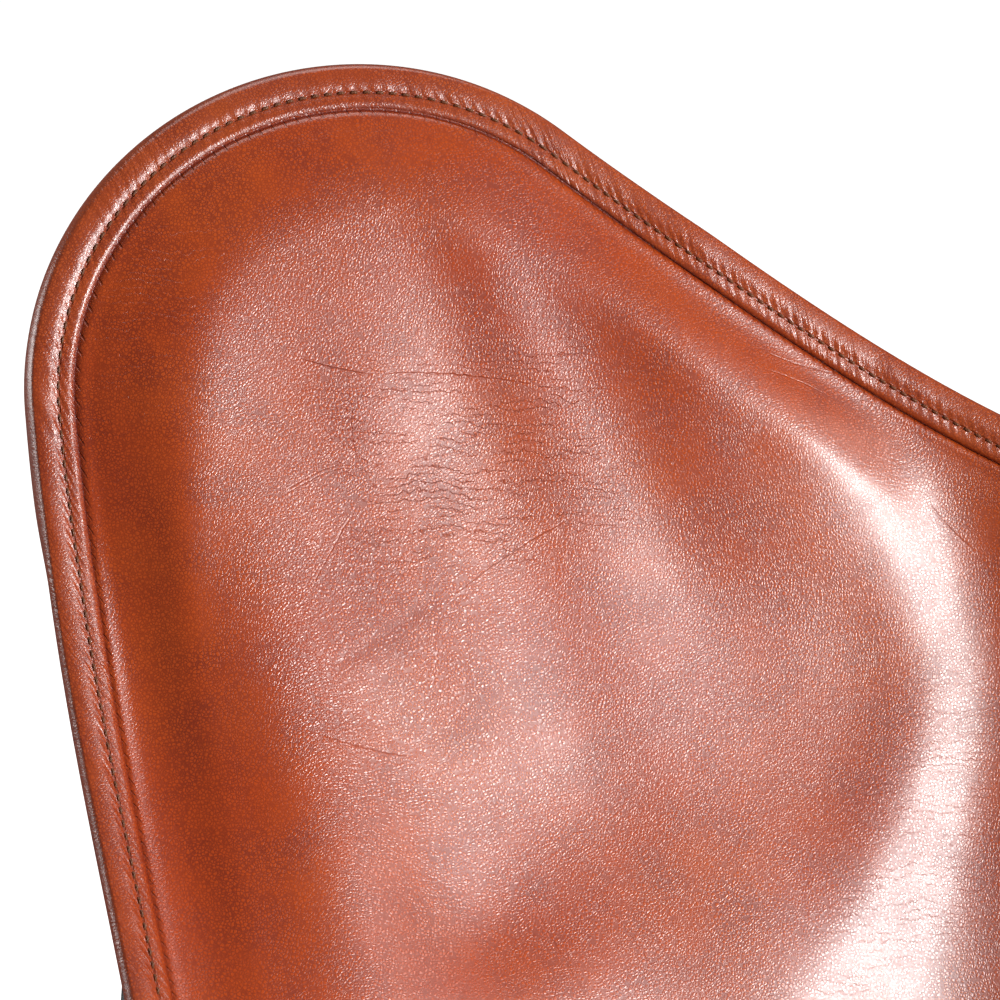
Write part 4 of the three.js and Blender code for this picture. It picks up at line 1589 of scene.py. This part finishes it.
    def stitches(self, finish: bpy.types.Material) -> bpy.types.Object:
        """Makes the thread's two rows, front and back, as short sunk stitches.

        Args:
            finish: the thread's finish.

        Returns:
            The stitches of this edge.
        """
        places = self.panel.walk(STITCH_PITCH / POINTS_A_STITCH)
        grid, square = self.rows(places, STITCH_ROW + np.array([-0.001, 0.0, 0.001]))
        front, back = self.thickness(places)
        sunk = self.skin - self.thread_sink
        maker = MeshMaker("edge_stitches_" + self.panel.corner.value)
        for level in (np.full(len(places), front + sunk), -(back + sunk)):
            line = grid[:, 1] + square[:, 1] * level[:, None] + MIDDLE
            rise = square[:, 1] * np.sign(level)[:, None]
            SeamThread.lay(maker, line, rise)
        return maker.build([finish])


@dataclass
class SeamThread:
    """Single stitches of thread, each a bent, sunk capsule."""

    radius: float = 0.00050
    bite: float = 0.0007
    cover: float = 0.78
    sides: int = 6

    @classmethod
    def lay(cls, maker: MeshMaker, line: Array, rise: Array) -> None:
        """Adds a stitch at each pitch of a line.

        Args:
            maker: the mesh that takes them.
            line: points along the row, some for each stitch.
            rise: directions out of the leather at these points.
        """
        thread, every = cls(), POINTS_A_STITCH
        shares = np.array([0.04, 0.16, 0.38, 0.62, 0.84, 0.96]) * thread.cover
        lifts = np.array([-1.2, 0.1, 0.75, 0.75, 0.1, -1.2]) * thread.bite
        sizes = np.array([0.45, 0.9, 1.0, 1.0, 0.9, 0.45]) * thread.radius
        angles = np.arange(thread.sides) * math.tau / thread.sides
        for start in range(0, len(line) - every, every):
            a, b = line[start], line[start + every]
            up = rise[start + every // 2]
            ahead = unit(b - a)
            side = unit(np.cross(ahead, up))
            centres = a + (b - a) * shares[:, None] + up * lifts[:, None]
            around = up * np.cos(angles)[:, None] + side * np.sin(angles)[:, None]
            rings = centres[:, None] + around[None] * sizes[:, None, None]
            uv = pair((shares * STITCH_PITCH)[:, None], angles / math.tau)
            maker.add_grid(rings, uv, 0, closed=True)


@dataclass
class Hide:
    """One of the four hides: grain side up, flesh side under, with its seams turned down.

    The press of the binding's cut edge and the puff of leather beside it are each a depth, how far
    in it is, and a width. The swell beside a seam is a height and a width.
    """

    panel: Panel
    form: SlingForm
    step: float = 0.0025
    rows: int = 96
    crowding: float = 1.12
    seam_row: float = 0.0055
    seam_half: float = 0.0022
    seam_swell: tuple[float, float] = (0.0005, 0.004)
    press: tuple[float, float, float] = (0.0005, 0.0141, 0.0005)
    puff: tuple[float, float, float] = (0.0005, 0.0162, 0.0018)
    cross_run: float = 0.62
    seam_samples: int = 600
    rear_cut: tuple[float, float] = (0.46, 0.60)
    front_cut: tuple[float, float] = (0.44, 0.50)
    rim: tuple[float, ...] = (0.0, 0.004, 0.008, 0.011, 0.0130, 0.0136, 0.0141, 0.0146, 0.0152,
                              0.0160, 0.0172, 0.019, 0.021, 0.024, 0.027, 0.030)

    def places(self) -> Array:
        """Lays out the grid, from the seams' crossing out to the edge.

        Returns:
            Its places, by place along the edge and row in from it.
        """
        coarse = 1
        edge = self.panel.walk(self.step * coarse)
        rim_places = [edge] + [self.panel.place_in(edge, d) for d in self.rim[1:]]
        inner = np.array([self.panel.inset] * 2)
        shares = np.linspace(1, 0, self.rows // coarse + 1)[1:] ** self.crowding
        body = [inner + (rim_places[-1] - inner) * share for share in shares]
        return np.stack(rim_places + body, 1)[:, ::-1]

    def build(self, grain: bpy.types.Material, flesh: bpy.types.Material) -> bpy.types.Object:
        """Makes the hide.

        Args:
            grain: the finish of its upper side.
            flesh: the finish of its under side.

        Returns:
            The hide.
        """
        panel = self.panel
        places = self.places()
        surface = panel.point(places[..., 0], places[..., 1])
        normal = panel.normal(places[..., 0], places[..., 1])
        distance = panel.edge_distance(surface)
        lift = self.form.lift(panel, surface, distance)
        half = panel.sling.hide / 2
        seam = self._seam_sink(surface, places)
        for (depth, middle, width), sign in ((self.press, 1), (self.puff, -1)):
            seam += sign * depth * hump(distance - middle, width)
        out, across = panel.ear.plane(surface)
        uv = pair(across, out)
        rim = pair(np.linspace(0, panel.length[-1], len(places))[:, None], distance)
        top = surface + normal * (lift + half - seam)[..., None] + MIDDLE
        under = surface + normal * (lift - half - 0.2 * seam)[..., None] + MIDDLE
        maker = MeshMaker("sling_" + panel.corner.hide)
        flip = (panel.corner.side > 0) == panel.corner.rear
        upper = maker.add_grid(top, uv, 0, flip=flip, rim=rim)
        lower = maker.add_grid(under, uv, 1, flip=not flip, rim=rim)
        for cut in ((slice(None), -1), 0, -1):
            maker.bridge(upper[cut], lower[cut], 1, flip)
        return maker.build([grain, flesh])

    def seam_stitches(self, finish: bpy.types.Material) -> bpy.types.Object:
        """Makes the rows of stitches that hold the turned leather beside the hide's two seams.

        Args:
            finish: the thread's finish.

        Returns:
            The stitches.
        """
        panel = self.panel
        maker = MeshMaker("seam_stitches_" + panel.corner.value)
        share = panel.inset + (0.995 - panel.inset) * np.linspace(0, 1, self.seam_samples)
        width = np.abs(panel.point(1.0, share)[:, 0])
        beside_middle = pair(self.seam_row / width, share)
        beside_cross = pair(share, np.array(panel.inset + self.seam_row / self.cross_run))
        for places in (beside_middle, beside_cross):
            surface = panel.point(*places.T)
            distance = panel.edge_distance(surface)
            kept = (distance > 0.0155) & (np.abs(surface[:, 0]) > self.seam_row * 0.9)
            places, surface, distance = places[kept], surface[kept], distance[kept]
            normal = panel.normal(*places.T)
            level = self.form.lift(panel, surface, distance) + panel.sling.hide / 2
            level = level - self._seam_sink(surface, places)
            line = surface + normal * level[:, None] + MIDDLE
            run = run_along(line)
            even = np.arange(0, run[-1], STITCH_PITCH / POINTS_A_STITCH)
            row, rise = (np.stack([np.interp(even, run, axis) for axis in values.T], -1)
                         for values in (line, normal))
            SeamThread.lay(maker, row, unit(rise))
        return maker.build([finish])

    def _seam_sink(self, surface: Array, places: Array) -> Array:
        """How far the grain side is turned down beside the centre and cross seams.

        Args:
            surface: points of the plain surface.
            places: their places.

        Returns:
            The depths, negative where the leather swells over its stitches.
        """
        centre = np.abs(surface[..., 0])
        along = np.abs(places[..., 1] - self.panel.inset) * self.cross_run
        swell, half = self.seam_swell
        sink = np.zeros(centre.shape)
        for gap in (centre, along):
            sink += self.form.seam_sink * hump(gap, self.seam_half)
            sink -= swell * hump(gap - self.seam_row, half)
        return sink


@dataclass
class Pocket:
    """The lining leather pocket behind an ear, drawn over the rod."""

    panel: Panel
    form: SlingForm
    step: float = 0.003
    cut: tuple[float, float] = (0.26, 0.20)
    mouth_rows: int = 26
    deep: float = 0.027
    taper: float = 0.04
    slack: float = 0.0016
    bulge_start: float = 0.0143
    bulge_run: float = 0.011
    mouth_margin: float = 0.001

    def build(self, finish: bpy.types.Material, hem: Hem) -> tuple[bpy.types.Object, float]:
        """Makes the pocket.

        Args:
            finish: its leather.
            hem: the binding that it is sewn in.

        Returns:
            The pocket and its area.
        """
        panel, sling = self.panel, self.panel.sling
        edge = panel.walk(self.step)
        edge = edge[panel.mouth_depth(panel.point(*edge.T)) > self.mouth_margin]
        sewn, square = hem.rows(edge, (0.0, 0.005, 0.010, HEM_WIDTH))
        places = self._places(edge)
        surface = panel.point(places[..., 0], places[..., 1])
        normal = panel.normal(places[..., 0], places[..., 1])
        level = sling.hide / 2 + sling.loops.gap + sling.pocket / 2
        ends = panel.point(*places[[0, -1], -1].T)
        drawn = surface + normal * self._drop(surface, normal, ends, level)[..., None]
        middle = np.concatenate([drawn[:, ::-1], (sewn - square * level)[:, ::-1]], 1)
        facing = np.concatenate([normal[:, ::-1], square[:, ::-1]], 1)
        half = sling.pocket / 2
        out, across = panel.ear.plane(middle)
        uv = pair(across, out)
        maker = MeshMaker("ear_pocket_" + panel.corner.value)
        flip = (panel.corner.side > 0) == panel.corner.rear
        upper = maker.add_grid(middle + facing * half + MIDDLE, uv, 0, flip=flip)
        lower = maker.add_grid(middle - facing * half + MIDDLE, uv, 0, flip=not flip)
        for rim in ((slice(None), -1), (slice(None), 0), 0, -1):
            maker.bridge(upper[rim], lower[rim], 0, flip)
        steps = np.linalg.norm(np.cross(middle[1:, 1:] - middle[:-1, :-1],
                                        middle[1:, :-1] - middle[:-1, 1:]), axis=-1)
        return maker.build([finish]), float(steps.sum() / 2)

    def _places(self, edge: Array) -> Array:
        """Lays out the free leather, from the binding's cut edge in to the pocket's mouth.

        Args:
            edge: places of the outline beside the pocket.

        Returns:
            The places, by place along the edge and row in from it. The last row is the mouth.
        """
        inner = self.panel.place_in(edge, HEM_WIDTH)
        from_end = np.minimum(np.arange(len(edge)), np.arange(len(edge))[::-1]) * self.step
        deepest = self.panel.place_in(edge, self.deep)
        deep = inner + (deepest - inner) * smooth(from_end / self.taper)[:, None]
        mouth = inner[0] + (inner[-1] - inner[0]) * np.linspace(0, 1, len(edge))[:, None]
        rows = [inner + (deep - inner) * s for s in (0.2, 0.4, 0.6, 0.8, 1.0)]
        rows += [deep + (mouth - deep) * s for s in np.linspace(0.04, 1, self.mouth_rows)]
        return np.stack(rows, 1)

    def _drop(self, surface: Array, normal: Array, ends: Array, level: float) -> Array:
        """How far the pocket's middle hangs behind the plain surface.

        Args:
            surface: points of the plain surface.
            normal: its normals.
            ends: the two ends of the mouth.
            level: how far behind the hide's middle it lies flat.

        Returns:
            The heights along the normals, all negative.
        """
        sling, ear = self.panel.sling, self.panel.ear
        distance = self.panel.edge_distance(surface)
        flat = self.panel.roll(surface, distance) - level
        height = dot(surface - ear.bend.centre, ear.normal) / dot(normal, ear.normal)
        behind = -height - sling.loops.rod / 2 - sling.loops.gap - sling.pocket / 2
        slack = self.slack * smooth((-self.form.rod_gap(ear, surface) - 0.008) / 0.02)
        from_ends = np.linalg.norm(surface[:, :, None] - ends, axis=-1).min(-1)
        bulge = smooth((distance - self.bulge_start) / self.bulge_run)
        bulge = bulge * smooth((from_ends - 0.004) / 0.036)
        under_hide = self.form.lift(self.panel, surface, distance) - level
        drawn = np.minimum(behind + slack, np.minimum(flat, under_hide))
        return flat + (drawn - flat) * bulge


@dataclass
class LeatherSling:
    """The whole sling: four hides, four pockets, the binding, the seams and the thread."""

    sling: Sling = field(default_factory=Sling)
    form: SlingForm = field(default_factory=SlingForm)
    corners: tuple[Corner, ...] = tuple(Corner)

    def build(self) -> None:
        """Makes and dresses every piece of the sling."""
        grain = GrainLeather("grain_leather", creased=True).make()
        # the binding's two tones are a paler, pinker copy of the hide's, a painted sheen
        hem_grain = GrainLeather("binding_leather", tone(176, 70, 22), tone(194, 92, 40),
                                 sheen=0.30).make()
        flesh = FleshLeather("flesh_side").make()
        lining = FleshLeather("lining_leather", tone(146, 84, 50), tone(170, 106, 68)).make()
        thread = Thread().make()
        for corner in self.corners:
            panel = Panel(self.sling, corner)
            hem = Hem(panel, self.form)
            leather = Hide(panel, self.form)
            hide = leather.build(grain, flesh)
            self._settle(hide, corner.hide, "tan_leather")
            self._declare_hide(hide, corner)
            pocket, area = Pocket(panel, self.form).build(lining, hem)
            self._settle(pocket, "pocket_" + corner.value, "lining_leather")
            min(area, Pocket.cut[0] * Pocket.cut[1])
            binding, length = hem.build(hem_grain)
            self._settle(binding, "binding_" + corner.value, "tan_leather")
            for stitches in (hem.stitches(thread), leather.seam_stitches(thread)):
                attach(stitches, "root")
            log.info("%s: %.0f mm of binding", corner.value, length * 1000)

    @staticmethod
    def _settle(piece: bpy.types.Object, node: str, slot: str) -> None:
        """Puts a piece on the chair in place of a CAD node.

        Args:
            piece: the piece.
            node: the node that it stands for.
            slot: not used.
        """
        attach(piece, "root")
        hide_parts(node)
        log.info("%s: %d faces", piece.name, len(piece.data.polygons))

    @staticmethod
    def _declare_hide(hide: bpy.types.Object, corner: Corner) -> None:
        """Logs the hide's area, measured from its faces.

        Args:
            hide: the hide.
            corner: not used.
        """
        area = sum(p.area for p in hide.data.polygons) / 2
        log.info("%s: %.4f m2 measured", hide.name, area)


@dataclass
class Frame:
    """The CAD rods, fasteners and glides, which keep their shapes and get their finishes."""

    nodes: dict[str, bpy.types.Object]
    rod_angle: float = math.radians(50)
    small_angle: float = math.radians(32)

    def dress(self) -> None:
        """Gives every rigid node its finish."""
        coat, zinc, nylon = PowderCoat().make(), ZincPlate().make(), Nylon().make()
        finishes = {"frame_loop": coat, "crossing_": zinc, "cap_nut": zinc, "floor_glide": nylon}
        for name, node in self.nodes.items():
            finish = next((f for start, f in finishes.items() if name.startswith(start)), None)
            if finish is None:
                continue
            for slot in node.material_slots:
                slot.material = finish
            self._soften(node, self.rod_angle if finish is coat else self.small_angle)
            log.info("%s: %s", name, finish.name)

    @staticmethod
    def _soften(node: bpy.types.Object, angle: float) -> None:
        """Shades faces smooth where they meet at a low angle.

        Args:
            node: the piece.
            angle: the angle above which an edge stays sharp.
        """
        node.data.set_sharp_from_angle(angle=angle)
        for polygon in node.data.polygons:
            polygon.use_smooth = True


def look_from(thing: bpy.types.Object, aim: Sequence[float], turn: float, rise: float,
              distance: float) -> None:
    """Stands a light or the camera off from a point and turns it to look there.

    Args:
        thing: the light or camera.
        aim: the point.
        turn: the direction to stand in, round from the chair's front.
        rise: the same, up from level.
        distance: how far off.
    """
    level = math.cos(rise)
    away = Vector((math.sin(turn) * level, -math.cos(turn) * level, math.sin(rise)))
    place = Matrix.Translation(Vector(aim) + away * distance)
    thing.matrix_world = place @ away.to_track_quat("Z", "Y").to_matrix().to_4x4()


@dataclass(frozen=True)
class SoftBox:
    """A rectangular studio light that looks at the photographed ear from a direction.

    Directions are in degrees, round from the chair's front and up from level.
    """

    name: str
    azimuth: float
    elevation: float
    distance: float
    size: tuple[float, float]
    radiance: float
    aim: tuple[float, float, float] = (-0.28, 0.24, 0.78)

    def build(self) -> bpy.types.Object:
        """Makes the light.

        Returns:
            The light, out of the camera's sight.
        """
        data = bpy.data.lights.new(self.name, "AREA")
        data.shape = "RECTANGLE"
        data.size, data.size_y = self.size
        data.energy = self.radiance * math.pi * self.size[0] * self.size[1]
        light = bpy.data.objects.new(self.name, data)
        bpy.context.scene.collection.objects.link(light)
        light.visible_camera = False
        look_from(light, self.aim, math.radians(self.azimuth), math.radians(self.elevation),
                  self.distance)
        return light


@dataclass
class Studio:
    """A pale floor, soft lights and the photograph's camera."""

    azimuth: float = math.radians(20)
    elevation: float = math.radians(26)
    aim: tuple[float, float, float] = (-0.2568, 0.2360, 0.7786)
    width: float = 0.333
    lens: float = 135.0
    sensor: float = 36.0
    floor_half: float = 14.0
    floor_glow: float = 0.8
    room_glow: float = 0.12

    def build(self) -> None:
        """Makes the floor, the lights and the camera."""
        scene = bpy.context.scene
        scene.view_settings.view_transform = "Standard"
        self._floor()
        self._world(scene)
        for box in self.lights():
            box.build()
        self._camera(scene)

    def lights(self) -> list[SoftBox]:
        """Lists the studio's lights.

        Returns:
            The lights, from the strongest highlight to the fill.
        """
        return [
            SoftBox("side_box", 74.8, 9.0, 2.0, (0.34, 1.00), 43.0),
            SoftBox("high_box", 97.0, 29.0, 1.8, (1.00, 0.26), 4.0),
            SoftBox("sky_box", 190.0, 68.0, 2.9, (2.4, 2.4), 2.4),
            SoftBox("fill_box", -83.7, 5.8, 2.6, (1.2, 1.2), 6.0),
        ]

    def _floor(self) -> None:
        """Lays a pale floor, which fills the view and puts no light on the leather."""
        maker = MeshMaker("studio_floor")
        span = np.linspace(-self.floor_half, self.floor_half, 3)
        grid = np.stack(np.meshgrid(span, span, [0.0], indexing="ij"), -1)[:, :, 0]
        maker.add_grid(grid, grid[..., :2], 0)
        n = Nodes.finish("pale_floor")
        cloud = n.noise(n.places(), 1.4, 2)
        colour = n.mix(cloud * 0.3, tone(244, 244, 243), tone(238, 238, 238))
        floor = maker.build([n.surface(Base_Color=colour, Roughness=0.8,
                                       Emission_Color=colour, Emission_Strength=self.floor_glow)])
        floor.visible_glossy = False
        floor.visible_diffuse = False

    def _world(self, scene: bpy.types.Scene) -> None:
        """Makes an even room, white to the camera and dim to the leather.

        Args:
            scene: the scene.
        """
        n = Nodes(bpy.data.worlds.new("white_room"))
        seen = n.node("ShaderNodeLightPath").outputs["Is Camera Ray"]
        glow = n.node("ShaderNodeMapRange", None, {
            "Value": seen, "To Min": self.room_glow, "To Max": 1.0,
        }).outputs["Result"]
        room = n.node("ShaderNodeBackground", None, {"Color": (1, 1, 1, 1), "Strength": glow})
        n.node("ShaderNodeOutputWorld", None, {"Surface": room.outputs["Background"]})
        scene.world = n.block

    def _camera(self, scene: bpy.types.Scene) -> None:
        """Sets up the camera, in the direction that the photograph was taken from.

        Args:
            scene: the scene.
        """
        data = bpy.data.cameras.new("photo_camera")
        data.lens = self.lens
        data.sensor_width = data.sensor_height = self.sensor
        data.clip_start, data.clip_end = 0.05, 60.0
        camera = bpy.data.objects.new("photo_camera", data)
        scene.collection.objects.link(camera)
        look_from(camera, self.aim, self.azimuth, self.elevation,
                  self.width * self.lens / self.sensor)
        scene.camera = camera


def main() -> None:
    """Builds the chair and the studio."""
    logging.basicConfig(level=logging.INFO, format="%(message)s")
    Frame(frame["nodes"]).dress()
    LeatherSling().build()
    Studio().build()


if __name__ == "__main__":
    main()
